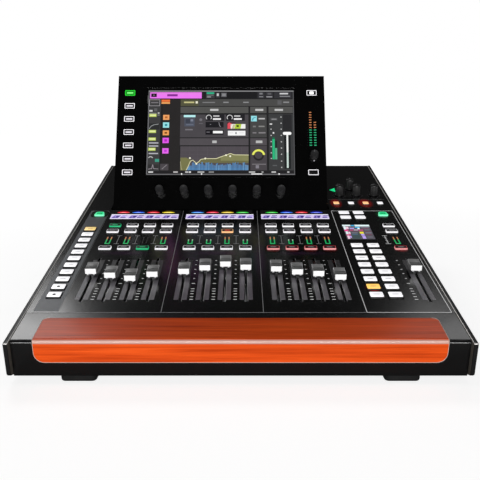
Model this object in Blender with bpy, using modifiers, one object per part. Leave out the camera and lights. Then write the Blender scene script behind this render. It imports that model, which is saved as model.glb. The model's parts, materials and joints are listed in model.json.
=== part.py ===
"""Compact digital mixing console with a tilting touch-screen lid.

Units are metres, +Z is up, +X is to the user's right and -Y is the side the user sits at.
The work surface slopes up towards the rear. Most pieces are laid out in the surface frame:
X across, T along the slope from the front top edge, N square to the surface.
The lid pieces are laid out in the lid frame: X across, R along the lid from its hinge axis,
M square to the screen. Dimensions below are in millimetres.
"""

import math

import bmesh
import bpy
from mathutils import Matrix, Vector

MM = 0.001

# ---------------------------------------------------------------- overall
WIDTH = 446.0
SLOPE_LENGTH = 585.0
SLOPE_DEG = 11.0
FRONT_TOP_Z = 44.7
FOOT_HEIGHT = 6.6
DEPTH = 574.3
FRONT_Y = -283.9
CHEEK = 4.5
INNER = WIDTH / 2 - CHEEK - 0.3
GAP = 0.3
CHEEK_RIM = 1.0
CHEEK_NOSE = 6.4
CHEEK_LOW_N = -34.2

# ---------------------------------------------------------------- work surface
PANEL_THICK = 2.5
RAIL_END_T = 54.85
PANEL_START_T = 55.15
PANEL_END_T = 584.2

# ---------------------------------------------------------------- armrest
ARM_HALF = 197.0
ARM_DEPTH = 43.0
ARM_TOP_N = 1.0
ARM_BOTTOM_N = -23.5

# ---------------------------------------------------------------- faders
BANK_CENTRES = (-133.5, -29.0, 75.5)
FADER_PITCH = 23.3
MAIN_FADER_X = 199.5
SLOT_T = (79.9, 191.9)
SLOT_WIDE = 2.8
CAP_WIDE, CAP_LONG, CAP_BASE_N, CAP_TOP_N = 13.0, 20.0, 2.0, 12.0
STEM_WIDE, STEM_LONG, STEM_BOTTOM_N = 1.8, 10.0, -16.0
FADER_REST = (
    (146.6, 136.5, 129.1, 139.1),
    (146.6, 156.3, 166.5, 157.9),
    (153.3, 145.5, 141.0, 131.9),
)
MAIN_REST = 155.5

# ---------------------------------------------------------------- keys
KEY_PROUD = 1.8
KEY_GAP = 0.35
WEB_TOP_N, WEB_THICK = -3.6, 1.6
BANK_KEY = (15.2, 8.3)
BANK_ROWS = (299.4, 278.9, 222.8)
SIDE_KEY = (15.6, 12.8)
LEFT_X, LEFT_T0, LEFT_STEP, LEFT_COUNT = -199.0, 93.7, 19.1, 11
RIGHT_XS, RIGHT_T0, RIGHT_STEP, RIGHT_COUNT = (145.2, 165.4), 93.7, 19.3, 8
RIGHT_PAIR_TS = (328.3, 347.0)
MAIN_KEY_X = 199.0
MUTE_KEY = (14.0, 13.5)
LEFT_MUTE = (-197.5, 342.5)
RIGHT_MUTE = (199.5, 343.0)
MONITOR_KEY = (9.4, 11.4)
MONITOR_XS, MONITOR_T = (139.8, 161.3, 182.7, 203.7), 387.2

# ---------------------------------------------------------------- monitor knobs
KNOBS = ((149.0, 425.0), (174.6, 425.0), (201.0, 425.0), (169.0, 455.0))
KNOB_R, KNOB_HIGH, SHAFT_R = 6.25, 16.0, 3.0

# ---------------------------------------------------------------- lid
LID_X, LID_WIDE = -29.0, 308.7
LID_OPEN_DEG = 56.0
HINGE_T, HINGE_N = 374.5, -7.5
LID_FACE_M, LID_BACK_M = 7.5, -15.5
LID_NEAR_R, LID_FAR_R = -7.0, 209.0
LID_PANEL = 2.6
LID_WALL = 2.0
SCREEN_HALF, SCREEN_R = 110.5, (49.0, 189.0)
ENCODER_XS, ENCODER_R = (-87.2, -52.3, -17.4, 17.4, 52.3, 87.2), 28.0
ENCODER_RAD, ENCODER_HIGH = 6.2, 17.0
LID_KEY = (15.4, 8.8)
LID_KEY_X, LID_KEY_R0, LID_KEY_STEP = -136.0, 56.7, 20.65
LID_RIGHT_X, LID_RIGHT_RS = 135.0, (56.7, 180.6)
LID_KNOB = (136.5, 82.6)
LID_KNOB_RAD, LID_KNOB_HIGH = 6.5, 10.0
LID_KEY_PROUD = 1.6
FOOT_WIDE, FOOT_LONG, FOOT_CORNER = 35.0, 26.0, 8.0
FEET = (
    ("foot_front_left", -157, 23),
    ("foot_front_right", 157, 23),
    ("foot_rear_left", -157, 540),
    ("foot_rear_right", 157, 540),
)

# ---------------------------------------------------------------- lid well
WELL_X = (-185.5, 127.5)
WELL_FRONT_T = 360.3
WELL_FLOOR_N = -26.5
WELL_WALL = 1.5
PIN_R, PIN_HOLE_R = 3.0, 3.3

# ---------------------------------------------------------------- rear
REAR_OUT, REAR_IN = 572.3, 570.3
XLR_IN_XS, XLR_IN_Z = tuple(-120.0 + 28.0 * i for i in range(8)), 92.0
XLR_OUT_XS, XLR_OUT_Z = tuple(-120.0 + 28.0 * i for i in range(4)), 50.0
NET_XS = (-4.0, 18.0, 40.0)
JACK_XS = (64.0, 86.0)
LOW_ROW_Z = 50.0
INLET_X, INLET_Z = 178.0, 45.0
SWITCH_X, SWITCH_Z, ROCKER_TILT = 138.0, 45.0, 8.0
FAN_X, FAN_Z = -180.0, 62.0
FAN_BOX, FAN_DEEP, FAN_BORE = 60.0, 15.0, 27.5

SIN, COS = math.sin(math.radians(SLOPE_DEG)), math.cos(math.radians(SLOPE_DEG))

# ---------------------------------------------------------------- scene set-up
for o in list(bpy.data.objects):
    bpy.data.objects.remove(o, do_unlink=True)

parts = bpy.data.collections.new("mixing_console")
tools = bpy.data.collections.new("cutters")
bpy.context.scene.collection.children.link(parts)
bpy.context.scene.collection.children.link(tools)


def empty(name, parent=None, loc=(0, 0, 0), rot_x=0.0):
    e = bpy.data.objects.new(name, None)
    parts.objects.link(e)
    e.parent = parent
    e.location = Vector(loc) * MM
    e.rotation_euler = (math.radians(rot_x), 0, 0)
    return e


base_frame = empty("base_frame", None, (0, FRONT_Y, 0))
surface_frame = empty("surface_frame", base_frame, (0, 0, FRONT_TOP_Z), SLOPE_DEG)
lid_frame = empty("lid_hinge_axis", surface_frame, (LID_X, HINGE_T, HINGE_N), LID_OPEN_DEG)

MATERIALS = {
    "black_panel": ((0.02, 0.02, 0.022), 0.35, 0.6),
    "dark_case": ((0.03, 0.03, 0.033), 0.45, 0.3),
    "gloss_black": ((0.01, 0.01, 0.012), 0.12, 0.0),
    "orange_wood": ((0.62, 0.13, 0.03), 0.22, 0.0),
    "rubber_black": ((0.02, 0.02, 0.02), 0.8, 0.0),
    "key_white": ((0.78, 0.77, 0.74), 0.4, 0.0),
    "cap_grey": ((0.34, 0.34, 0.35), 0.4, 0.0),
    "steel": ((0.55, 0.55, 0.56), 0.35, 1.0),
    "board_green": ((0.03, 0.16, 0.07), 0.5, 0.0),
    "knob_black": ((0.015, 0.015, 0.016), 0.35, 0.0),
    "plastic_black": ((0.02, 0.02, 0.02), 0.5, 0.0),
}


def material(name, of):
    colour, rough, metal = MATERIALS[of]
    m = bpy.data.materials.new(name + "_" + of)
    m.use_nodes = True
    shader = m.node_tree.nodes["Principled BSDF"]
    shader.inputs["Base Color"].default_value = (*colour, 1)
    shader.inputs["Roughness"].default_value = rough
    shader.inputs["Metallic"].default_value = metal
    return m


# ---------------------------------------------------------------- primitives
def box(x0, x1, y0, y1, z0, z1, turn=None):
    """A box between two corners, in millimetres. turn is a matrix applied after placing."""
    b = bmesh.new()
    bmesh.ops.create_cube(b, size=1.0)
    size = Matrix.Diagonal((x1 - x0, y1 - y0, z1 - z0, 1))
    b.transform(Matrix.Translation(((x0 + x1) / 2, (y0 + y1) / 2, (z0 + z1) / 2)) @ size)
    if turn is not None:
        b.transform(turn)
    return b


def drum(at, axis, r0, r1, length, sides=16, start=0.0):
    """A cylinder or cone from point at, along axis, its flats placed by start degrees."""
    b = bmesh.new()
    bmesh.ops.create_cone(b, cap_ends=True, segments=sides, radius1=r0, radius2=r1, depth=length)
    b.transform(Matrix.Translation((0, 0, length / 2)) @ Matrix.Rotation(math.radians(start), 4, "Z"))
    turn = Vector((0, 0, 1)).rotation_difference(Vector(axis)).to_matrix().to_4x4()
    b.transform(Matrix.Translation(at) @ turn)
    return b


def rounded(points, radii, steps=4):
    """The outline with each corner replaced by an arc of its radius."""
    out, n = [], len(points)
    for i, p in enumerate(points):
        p = Vector(p)
        a, c = Vector(points[i - 1]) - p, Vector(points[(i + 1) % n]) - p
        r = radii[i] if hasattr(radii, "__len__") else radii
        if r <= 0:
            out.append(tuple(p))
            continue
        a.normalize()
        c.normalize()
        half = a.angle(c) / 2
        mid = (a + c).normalized()
        centre = p + mid * (r / math.sin(half))
        start = p + a * (r / math.tan(half)) - centre
        end = p + c * (r / math.tan(half)) - centre
        sweep = start.angle_signed(end) if hasattr(start, "angle_signed") else 0.0
        for k in range(steps + 1):
            t = -sweep * k / steps
            out.append(
                (
                    centre.x + start.x * math.cos(t) - start.y * math.sin(t),
                    centre.y + start.x * math.sin(t) + start.y * math.cos(t),
                )
            )
    return out


def plate(points, low, high, plane="XY"):
    """A flat outline given thickness. plane XY rises along Z, YZ along X and XZ along Y."""
    curve = bpy.data.curves.new("outline", "CURVE")
    curve.dimensions = "2D"
    curve.fill_mode = "BOTH"
    curve.extrude = (high - low) / 2
    spline = curve.splines.new("POLY")
    spline.points.add(len(points) - 1)
    for sp, (u, v) in zip(spline.points, points):
        sp.co = (u, v, 0, 1)
    spline.use_cyclic_u = True
    holder = bpy.data.objects.new("outline", curve)
    tools.objects.link(holder)
    bpy.context.view_layer.update()
    mesh = bpy.data.meshes.new_from_object(holder.evaluated_get(bpy.context.evaluated_depsgraph_get()))
    bpy.data.objects.remove(holder)
    bpy.data.curves.remove(curve)
    b = bmesh.new()
    b.from_mesh(mesh)
    bpy.data.meshes.remove(mesh)
    bmesh.ops.remove_doubles(b, verts=b.verts, dist=0.001)
    mid = Matrix.Translation((0, 0, (low + high) / 2))
    if plane == "XY":
        b.transform(mid)
    elif plane == "YZ":
        b.transform(Matrix(((0, 0, 1, 0), (1, 0, 0, 0), (0, 1, 0, 0), (0, 0, 0, 1))) @ mid)
    else:
        b.transform(Matrix(((1, 0, 0, 0), (0, 0, 1, 0), (0, 1, 0, 0), (0, 0, 0, 1))) @ mid)
    bmesh.ops.recalc_face_normals(b, faces=b.faces)
    return b


def mesh_of(name, shapes, origin):
    """One mesh from shapes that don't touch each other."""
    whole = bmesh.new()
    for s in shapes:
        piece = bpy.data.meshes.new(name)
        bmesh.ops.recalc_face_normals(s, faces=s.faces)
        s.to_mesh(piece)
        s.free()
        whole.from_mesh(piece)
        bpy.data.meshes.remove(piece)
    whole.transform(Matrix.Translation(-Vector(origin)))
    whole.transform(Matrix.Diagonal((MM, MM, MM, 1)))
    mesh = bpy.data.meshes.new(name)
    whole.to_mesh(mesh)
    whole.free()
    return mesh


def part(name, of, shape, parent=surface_frame, origin=(0, 0, 0), steps=(), bevel=0.0, smooth=False):
    """One named piece. steps is a list of ("join" or "cut", [shapes]), each a Boolean modifier.
    A bevel, in millimetres, rounds the first shape before the Booleans."""
    obj = bpy.data.objects.new(name, mesh_of(name, [shape], origin))
    parts.objects.link(obj)
    obj.parent = parent
    obj.location = Vector(origin) * MM
    obj.data.materials.append(material(name, of))
    if smooth:
        obj.data.shade_smooth()
        obj.data.set_sharp_from_angle(angle=math.radians(35))
    if bevel:
        m = obj.modifiers.new("edges", "BEVEL")
        m.width = bevel * MM
        m.segments = 2
        m.limit_method = "ANGLE"
        m.angle_limit = math.radians(40)
    for i, (kind, shapes) in enumerate(steps):
        helper = bpy.data.objects.new(f"{name}_{kind}_{i}", mesh_of(f"{name}_{kind}_{i}", shapes, origin))
        tools.objects.link(helper)
        helper.parent = parent
        helper.location = Vector(origin) * MM
        helper.hide_render = True
        helper.display_type = "WIRE"
        m = obj.modifiers.new(f"{kind}_{i}", "BOOLEAN")
        m.operation = "UNION" if kind == "join" else "DIFFERENCE"
        m.solver = "EXACT"
        m.object = helper
    return obj


def key_box(x, t, size, low, high, grow=0.0):
    w, l = size[0] / 2 + grow, size[1] / 2 + grow
    return box(x - w, x + w, t - l, t + l, low, high)


# ---------------------------------------------------------------- key layout
fader_xs = [[c + (i - 1.5) * FADER_PITCH for i in range(4)] for c in BANK_CENTRES]
left_keys = [(LEFT_X, LEFT_T0 + LEFT_STEP * k, SIDE_KEY) for k in range(LEFT_COUNT)] + [(*LEFT_MUTE, MUTE_KEY)]
bank_keys = [[(x, t, BANK_KEY) for x in xs for t in BANK_ROWS] for xs in fader_xs]
right_keys = [(x, RIGHT_T0 + RIGHT_STEP * k, SIDE_KEY) for x in RIGHT_XS for k in range(RIGHT_COUNT)]
right_keys += [(x, t, SIDE_KEY) for x in RIGHT_XS for t in RIGHT_PAIR_TS]
main_keys = [(MAIN_KEY_X, t, BANK_KEY) for t in BANK_ROWS] + [(*RIGHT_MUTE, MUTE_KEY)]
monitor_keys = [(x, MONITOR_T, MONITOR_KEY) for x in MONITOR_XS]
keypads = {
    "keypad_left": left_keys,
    "keypad_bank_1": bank_keys[0],
    "keypad_bank_2": bank_keys[1],
    "keypad_bank_3": bank_keys[2],
    "keypad_right": right_keys,
    "keypad_main": main_keys,
    "keypad_monitor": monitor_keys,
}

# ---------------------------------------------------------------- casing
bottom_n = (FOOT_HEIGHT - FRONT_TOP_Z) / COS
cheek_outline = rounded(
    [
        (-CHEEK_NOSE * COS - CHEEK_RIM * SIN, FRONT_TOP_Z - CHEEK_NOSE * SIN + CHEEK_RIM * COS),
        (-CHEEK_NOSE * COS - CHEEK_LOW_N * SIN, FRONT_TOP_Z - CHEEK_NOSE * SIN + CHEEK_LOW_N * COS),
        (14.0, FOOT_HEIGHT),
        (DEPTH, FOOT_HEIGHT),
        (DEPTH, FRONT_TOP_Z + CHEEK_RIM * COS + (DEPTH + CHEEK_RIM * SIN) * SIN / COS),
    ],
    (1.0, 3.5, 6.0, 3.0, 3.0),
)
for side, sign in (("left", -1), ("right", 1)):
    lo, hi = sorted((sign * WIDTH / 2, sign * (WIDTH / 2 - CHEEK)))
    part(f"{side}_cheek", "dark_case", plate(cheek_outline, lo, hi, "YZ"), base_frame)

tray_front = -bottom_n * SIN + 4.2
part(
    "base_tray",
    "dark_case",
    box(-INNER, INNER, tray_front, REAR_IN - GAP, FOOT_HEIGHT, FOOT_HEIGHT + 9.0),
    base_frame,
    steps=[
        ("cut", [box(-INNER + 2, INNER - 2, tray_front - 5, REAR_IN + 5, FOOT_HEIGHT + 2, FOOT_HEIGHT + 30)]),
        ("cut", [box(-60 + 24 * i, -48 + 24 * i, 200, 330, 0, 20) for i in range(6)]),
    ],
)

rail_profile = rounded(
    [
        (0.0, 0.0),
        (0.0, bottom_n),
        (3.6, bottom_n + 3.6 * SIN / COS * -1),
        (3.6, -27.0),
        (RAIL_END_T, -27.0),
        (RAIL_END_T, 0.0),
    ],
    (5.0, 1.0, 0, 0, 0, 0),
)
part(
    "front_rail",
    "black_panel",
    plate(rail_profile, -INNER, INNER, "YZ"),
    steps=[
        ("cut", [box(-ARM_HALF - GAP, ARM_HALF + GAP, -10, ARM_DEPTH + GAP, ARM_BOTTOM_N - GAP, 20)]),
        ("cut", [box(-INNER + 3, -ARM_HALF - 4, 4, RAIL_END_T - 2.5, -40, -3), box(ARM_HALF + 4, INNER - 3, 4, RAIL_END_T - 2.5, -40, -3)]),
    ],
)

arm_profile = rounded(
    [(0.0, ARM_TOP_N), (0.0, ARM_BOTTOM_N), (ARM_DEPTH, ARM_BOTTOM_N), (ARM_DEPTH, ARM_TOP_N)],
    (5.0, 1.5, 1.0, 1.5),
    5,
)
part("armrest", "orange_wood", plate(arm_profile, -ARM_HALF, ARM_HALF, "YZ"), smooth=True)

panel_outline = [
    (-INNER, PANEL_START_T),
    (INNER, PANEL_START_T),
    (INNER, PANEL_END_T),
    (WELL_X[1], PANEL_END_T),
    (WELL_X[1], WELL_FRONT_T),
    (WELL_X[0], WELL_FRONT_T),
    (WELL_X[0], PANEL_END_T),
    (-INNER, PANEL_END_T),
]
slots = [
    box(x - SLOT_WIDE / 2, x + SLOT_WIDE / 2, SLOT_T[0], SLOT_T[1], -10, 10)
    for x in [x for xs in fader_xs for x in xs] + [MAIN_FADER_X]
]
key_holes = [key_box(x, t, size, -10, 10, KEY_GAP) for keys in keypads.values() for x, t, size in keys]
knob_holes = [drum((x, t, -10), (0, 0, 1), SHAFT_R + 0.4, SHAFT_R + 0.4, 20, 12) for x, t in KNOBS]
part("top_panel", "black_panel", plate(panel_outline, -PANEL_THICK, 0), steps=[("cut", slots + key_holes + knob_holes)])

well_step = (WELL_X[0] - WELL_WALL - GAP, WELL_X[1] + WELL_WALL + GAP)
rear_outline = [
    (-INNER, FOOT_HEIGHT),
    (INNER, FOOT_HEIGHT),
    (INNER, 151.2),
    (well_step[1], 151.2),
    (well_step[1], 125.0),
    (well_step[0], 125.0),
    (well_step[0], 151.2),
    (-INNER, 151.2),
]
y0, y1 = REAR_IN - 20, REAR_OUT + 20
back = (0, 1, 0)
rear_holes = [drum((x, y0, XLR_IN_Z), back, 12.2, 12.2, y1 - y0) for x in XLR_IN_XS]
rear_holes += [drum((x, y0, XLR_OUT_Z), back, 12.2, 12.2, y1 - y0) for x in XLR_OUT_XS]
rear_holes += [box(x - 8.4, x + 8.4, y0, y1, LOW_ROW_Z - 7.4, LOW_ROW_Z + 7.4) for x in NET_XS]
rear_holes += [drum((x, y0, LOW_ROW_Z), back, 6.4, 6.4, y1 - y0, 12) for x in JACK_XS]
rear_holes += [box(INLET_X - 14.4, INLET_X + 14.4, y0, y1, INLET_Z - 10.9, INLET_Z + 10.9)]
rear_holes += [box(SWITCH_X - 7.0, SWITCH_X + 7.0, y0, y1, SWITCH_Z - 10.6, SWITCH_Z + 10.6)]
rear_holes += [box(FAN_X - 22, FAN_X + 22, y0, y1, FAN_Z - 22.5 + 7.5 * i, FAN_Z - 18.9 + 7.5 * i) for i in range(6)]
part("rear_panel", "dark_case", plate(rear_outline, REAR_IN, REAR_OUT, "XZ"), base_frame, steps=[("cut", rear_holes)])

for name, x, y in FEET:

    def foot_outline(inset):
        w, l = FOOT_WIDE / 2 - inset, FOOT_LONG / 2 - inset
        return rounded([(x - w, y + l), (x + w, y + l), (x + w, y - l), (x - w, y - l)], FOOT_CORNER - inset)

    part(
        name,
        "rubber_black",
        plate(foot_outline(1.6), 0.0, 2.2),
        base_frame,
        origin=(x, y, 0),
        steps=[("join", [plate(foot_outline(0.0), 1.6, FOOT_HEIGHT - GAP)])],
    )

# ---------------------------------------------------------------- lid well and hinges
well_low = WELL_FLOOR_N - WELL_WALL
part(
    "screen_well",
    "black_panel",
    box(WELL_X[0] - WELL_WALL, WELL_X[1] + WELL_WALL, WELL_FRONT_T - WELL_WALL, 600, well_low, -PANEL_THICK - GAP),
    steps=[
        ("cut", [box(WELL_X[0], WELL_X[1], WELL_FRONT_T, 620, WELL_FLOOR_N, 10)]),
        (
            "cut",
            [
                box(-300, 300, REAR_IN - GAP, 800, -200, 300, Matrix.Rotation(-math.radians(SLOPE_DEG), 4, "X") @ Matrix.Translation((0, 0, -FRONT_TOP_Z))),
                drum((WELL_X[0] - 5, HINGE_T, HINGE_N), (1, 0, 0), PIN_HOLE_R, PIN_HOLE_R, 10, 12),
                drum((WELL_X[1] - 5, HINGE_T, HINGE_N), (1, 0, 0), PIN_HOLE_R, PIN_HOLE_R, 10, 12),
            ],
        ),
    ],
)

for side, sign, wall in (("left", -1, well_step[0] - 0.1), ("right", 1, well_step[1] + 0.1)):
    lo, hi = sorted((wall, wall + sign * 5.0))
    f_lo, f_hi = sorted((wall + sign * 4.0, wall + sign * 11.5))
    part(
        f"hinge_bracket_{side}",
        "steel",
        box(lo, hi, 363.0, 380.5, -22.0, -PANEL_THICK - 0.5),
        steps=[
            ("join", [box(f_lo, f_hi, 364.0, 379.5, -22.0, -19.5)]),
            ("cut", [drum((lo - 5, HINGE_T, HINGE_N), (1, 0, 0), PIN_HOLE_R, PIN_HOLE_R, 15, 12)]),
        ],
    )
    tip = LID_X + sign * (LID_WIDE / 2 - 6.5)
    root = wall + sign * 5.5
    part(
        f"hinge_pin_{side}",
        "steel",
        drum((min(tip, root), HINGE_T, HINGE_N), (1, 0, 0), PIN_R, PIN_R, abs(root - tip), 12),
        origin=(wall, HINGE_T, HINGE_N),
        steps=[("join", [drum((min(root, root + sign * 2.0) - sign * 0.2, HINGE_T, HINGE_N), (1, 0, 0), 5.0, 5.0, 2.0, 12)])],
    )

# ---------------------------------------------------------------- lid
lean = (LID_FACE_M - LID_BACK_M) * SIN / COS
half = LID_WIDE / 2
cover_top = LID_FACE_M - LID_PANEL - GAP
cover_profile = rounded(
    [
        (LID_NEAR_R, cover_top),
        (LID_NEAR_R, LID_BACK_M),
        (LID_FAR_R - lean, LID_BACK_M),
        (LID_FAR_R - (LID_FACE_M - cover_top) * SIN / COS, cover_top),
    ],
    (0, 5.0, 4.0, 0),
    3,
)
boss = [
    box(-half + 1, -half + 8, LID_NEAR_R + 0.5, 6.0, LID_BACK_M + 1.0, cover_top - 0.1),
    box(half - 8, half - 1, LID_NEAR_R + 0.5, 6.0, LID_BACK_M + 1.0, cover_top - 0.1),
]
part(
    "lid_back_cover",
    "dark_case",
    plate(cover_profile, -half, half, "YZ"),
    lid_frame,
    steps=[
        (
            "cut",
            [
                plate(
                    [
                        (LID_NEAR_R + LID_WALL, 20),
                        (LID_NEAR_R + LID_WALL, LID_BACK_M + LID_WALL + 4),
                        (LID_NEAR_R + LID_WALL + 4, LID_BACK_M + LID_WALL),
                        (LID_FAR_R - lean - LID_WALL - 3, LID_BACK_M + LID_WALL),
                        (LID_FAR_R - LID_WALL - 2.6, LID_BACK_M + LID_WALL + 8),
                        (LID_FAR_R - LID_WALL - 2.6, 20),
                    ],
                    -half + LID_WALL,
                    half - LID_WALL,
                    "YZ",
                )
            ],
        ),
        ("join", boss),
        (
            "cut",
            [
                drum((-half - 5, 0, 0), (1, 0, 0), PIN_HOLE_R, PIN_HOLE_R, 20, 12),
                drum((half - 15, 0, 0), (1, 0, 0), PIN_HOLE_R, PIN_HOLE_R, 20, 12),
            ],
        ),
    ],
)

lid_left_keys = [(LID_KEY_X, LID_KEY_R0 + LID_KEY_STEP * k, LID_KEY) for k in range(7)]
lid_right_keys = [(LID_RIGHT_X, r, LID_KEY) for r in LID_RIGHT_RS]
lid_keypads = {"keypad_lid_left": lid_left_keys, "keypad_lid_right": lid_right_keys}
front_profile = rounded(
    [
        (LID_NEAR_R, LID_FACE_M),
        (LID_NEAR_R, LID_FACE_M - LID_PANEL),
        (LID_FAR_R - LID_PANEL * SIN / COS, LID_FACE_M - LID_PANEL),
        (LID_FAR_R, LID_FACE_M),
    ],
    (1.5, 0, 0, 0.8),
    2,
)
lid_holes = [key_box(x, r, size, 0, 20, KEY_GAP) for keys in lid_keypads.values() for x, r, size in keys]
lid_holes += [drum((x, ENCODER_R, 0), (0, 0, 1), SHAFT_R + 0.4, SHAFT_R + 0.4, 20, 12) for x in ENCODER_XS]
lid_holes += [drum((*LID_KNOB, 0), (0, 0, 1), SHAFT_R + 0.4, SHAFT_R + 0.4, 20, 12)]
lid_holes += [box(-SCREEN_HALF, SCREEN_HALF, *SCREEN_R, 0, 20)]
part("lid_front_panel", "gloss_black", plate(front_profile, -half, half, "YZ"), lid_frame, steps=[("cut", lid_holes)])
part(
    "lcd_module",
    "gloss_black",
    box(-SCREEN_HALF - 5.5, SCREEN_HALF + 5.5, SCREEN_R[0] - 5, SCREEN_R[1] + 5, -4.0, cover_top),
    lid_frame,
    steps=[("join", [box(-SCREEN_HALF + 0.4, SCREEN_HALF - 0.4, SCREEN_R[0] + 0.4, SCREEN_R[1] - 0.4, cover_top - 1, LID_FACE_M - 0.1)])],
)


def knob(name, x, y, face, radius, high, parent, of="knob_black", shaft_to=-6.5, sides=20):
    """A knob on its shaft, its origin on the shaft's axis, with a pointer groove up its side."""
    part(
        name,
        of,
        drum((x, y, face + 0.8), (0, 0, 1), radius, radius * 0.9, high, sides),
        parent,
        origin=(x, y, face),
        steps=[
            ("join", [drum((x, y, face + shaft_to), (0, 0, 1), SHAFT_R, SHAFT_R, -shaft_to + 2.0, 12)]),
            ("cut", [box(x - 0.5, x + 0.5, y + radius * 0.45, y + radius * 1.2, face + high * 0.55, face + high + 3)]),
        ],
        smooth=True,
    )


for i, x in enumerate(ENCODER_XS):
    knob(f"lid_encoder_{i + 1}", x, ENCODER_R, LID_FACE_M, ENCODER_RAD, ENCODER_HIGH, lid_frame)
knob("lid_volume_knob", *LID_KNOB, LID_FACE_M, LID_KNOB_RAD, LID_KNOB_HIGH, lid_frame)
for i, (x, t) in enumerate(KNOBS):
    knob(f"monitor_knob_{i + 1}", x, t, 0.0, KNOB_R, KNOB_HIGH, surface_frame)


# ---------------------------------------------------------------- keypads
def keypad(name, keys, web_top, face, proud, parent, holes=()):
    xs = [k[0] for k in keys]
    ys = [k[1] for k in keys]
    w = max(k[2][0] for k in keys) / 2 + 1.0
    first, last = min(keys, key=lambda k: k[1]), max(keys, key=lambda k: k[1])
    web = box(min(xs) - w, max(xs) + w, first[1] - first[2][1] / 2 - 1.0, last[1] + last[2][1] / 2 + 1.0, web_top - WEB_THICK, web_top)
    steps = [("join", [key_box(x, y, size, web_top - 0.8, face + proud) for x, y, size in keys])]
    if holes:
        steps.append(("cut", list(holes)))
    origin = (sum(xs) / len(xs), sum(ys) / len(ys), web_top)
    part(name, "key_white", web, parent, origin=origin, steps=steps)


for name, keys in keypads.items():
    keypad(name, keys, WEB_TOP_N, 0.0, KEY_PROUD, surface_frame)
lid_web = LID_FACE_M - LID_PANEL - 0.5
keypad("keypad_lid_left", lid_left_keys, lid_web, LID_FACE_M, LID_KEY_PROUD, lid_frame)

link = [LID_RIGHT_X - LID_KEY[0] / 2 - 1.0, LID_RIGHT_X - LID_KEY[0] / 2 + 3.4]
pads = [key_box(x, r, size, lid_web - WEB_THICK, lid_web, 1.0) for x, r, size in lid_right_keys]
tops = [key_box(x, r, size, lid_web - 0.8, LID_FACE_M + LID_KEY_PROUD) for x, r, size in lid_right_keys]
part(
    "keypad_lid_right",
    "key_white",
    box(*link, LID_RIGHT_RS[0] - 2.0, LID_RIGHT_RS[1] + 2.0, lid_web - WEB_THICK, lid_web),
    lid_frame,
    origin=(LID_RIGHT_X, sum(LID_RIGHT_RS) / 2, lid_web),
    steps=[("join", pads + tops)],
)


# ---------------------------------------------------------------- faders
def fader(name, x, t):
    """Cap and stem in one. The origin lies on the surface, at the middle of the cap at rest."""
    cap = plate(
        [
            (t - CAP_LONG / 2, CAP_BASE_N),
            (t + CAP_LONG / 2, CAP_BASE_N),
            (t + CAP_LONG / 2 - 1.2, CAP_TOP_N - 0.8),
            (t + CAP_LONG / 2 - 2.2, CAP_TOP_N),
            (t, CAP_TOP_N - 1.2),
            (t - CAP_LONG / 2 + 1.6, CAP_TOP_N),
            (t - CAP_LONG / 2 + 0.3, CAP_TOP_N - 1.0),
        ],
        x - CAP_WIDE / 2,
        x + CAP_WIDE / 2,
        "YZ",
    )
    stem = box(x - STEM_WIDE / 2, x + STEM_WIDE / 2, t - STEM_LONG / 2, t + STEM_LONG / 2, STEM_BOTTOM_N, CAP_BASE_N + 1)
    part(name, "cap_grey", cap, surface_frame, origin=(x, t, 0), steps=[("join", [stem])])


n = 0
for xs, rests in zip(fader_xs, FADER_REST):
    for x, rest in zip(xs, rests):
        n += 1
        fader(f"fader_cap_{n:02d}", x, rest)
fader("fader_cap_main", MAIN_FADER_X, MAIN_REST)

all_xs = [x for xs in fader_xs for x in xs] + [MAIN_FADER_X]
part(
    "fader_frame",
    "steel",
    box(-176, 206, 68, 73, -19, -15),
    steps=[
        ("join", [box(x - 5.5, x + 5.5, 72, 200, -19, -7) for x in all_xs]),
        ("join", [box(-176, 206, 199, 204, -19, -15)]),
        ("cut", [box(x - 1.6, x + 1.6, SLOT_T[0] - 0.4, SLOT_T[1] + 0.4, -17.5, 0) for x in all_xs]),
    ],
)

# ---------------------------------------------------------------- boards
part(
    "main_board",
    "board_green",
    box(-214, 215, 62, 356, -9.6, -8.0),
    steps=[
        ("join", [box(138.5, 215, 355, 470, -9.6, -8.0)] + [box(-60 + 60 * i, -30 + 60 * i, 315, 345, -12.5, -9.0) for i in range(3)]),
        ("cut", [box(-181, 125, 50, 207, -20, 0), box(189, 210, 50, 207, -20, 0)]),
    ],
)

part(
    "power_supply",
    "steel",
    box(60, 200, 430, 530, 12.0, 14.0),
    base_frame,
    steps=[
        (
            "join",
            [
                box(70, 105, 440, 478, 13.5, 44),
                box(118, 142, 450, 500, 13.5, 36),
                drum((165, 455, 13.5), (0, 0, 1), 9, 9, 32, 16),
                drum((165, 480, 13.5), (0, 0, 1), 9, 9, 32, 16),
                box(78, 100, 492, 520, 13.5, 32),
                box(64, 68, 432, 436, 9.4, 12.5),
                box(192, 196, 432, 436, 9.4, 12.5),
                box(64, 68, 524, 528, 9.4, 12.5),
                box(192, 196, 524, 528, 9.4, 12.5),
            ],
        )
    ],
)

# ---------------------------------------------------------------- rear connectors
face = REAR_OUT + 1.4
sockets = [drum((x, 546.5, XLR_IN_Z), back, 11.8, 11.8, face - 546.5) for x in XLR_IN_XS]
sockets += [drum((x, 546.5, XLR_OUT_Z), back, 11.8, 11.8, face - 546.5) for x in XLR_OUT_XS]
sockets += [box(x - 8, x + 8, 546.5, face - 1.0, LOW_ROW_Z - 7, LOW_ROW_Z + 7) for x in NET_XS]
sockets += [drum((x, 546.5, LOW_ROW_Z), back, 6, 6, face - 546.5, 12) for x in JACK_XS]
hollows = [drum((x, face - 13, XLR_OUT_Z), back, 7.6, 7.6, 30) for x in XLR_OUT_XS]
hollows += [box(x - 6, x + 6, face - 13, face + 5, LOW_ROW_Z - 4.5, LOW_ROW_Z + 4.5) for x in NET_XS]
hollows += [drum((x, face - 22, LOW_ROW_Z), back, 3.3, 3.3, 40, 12) for x in JACK_XS]
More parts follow.
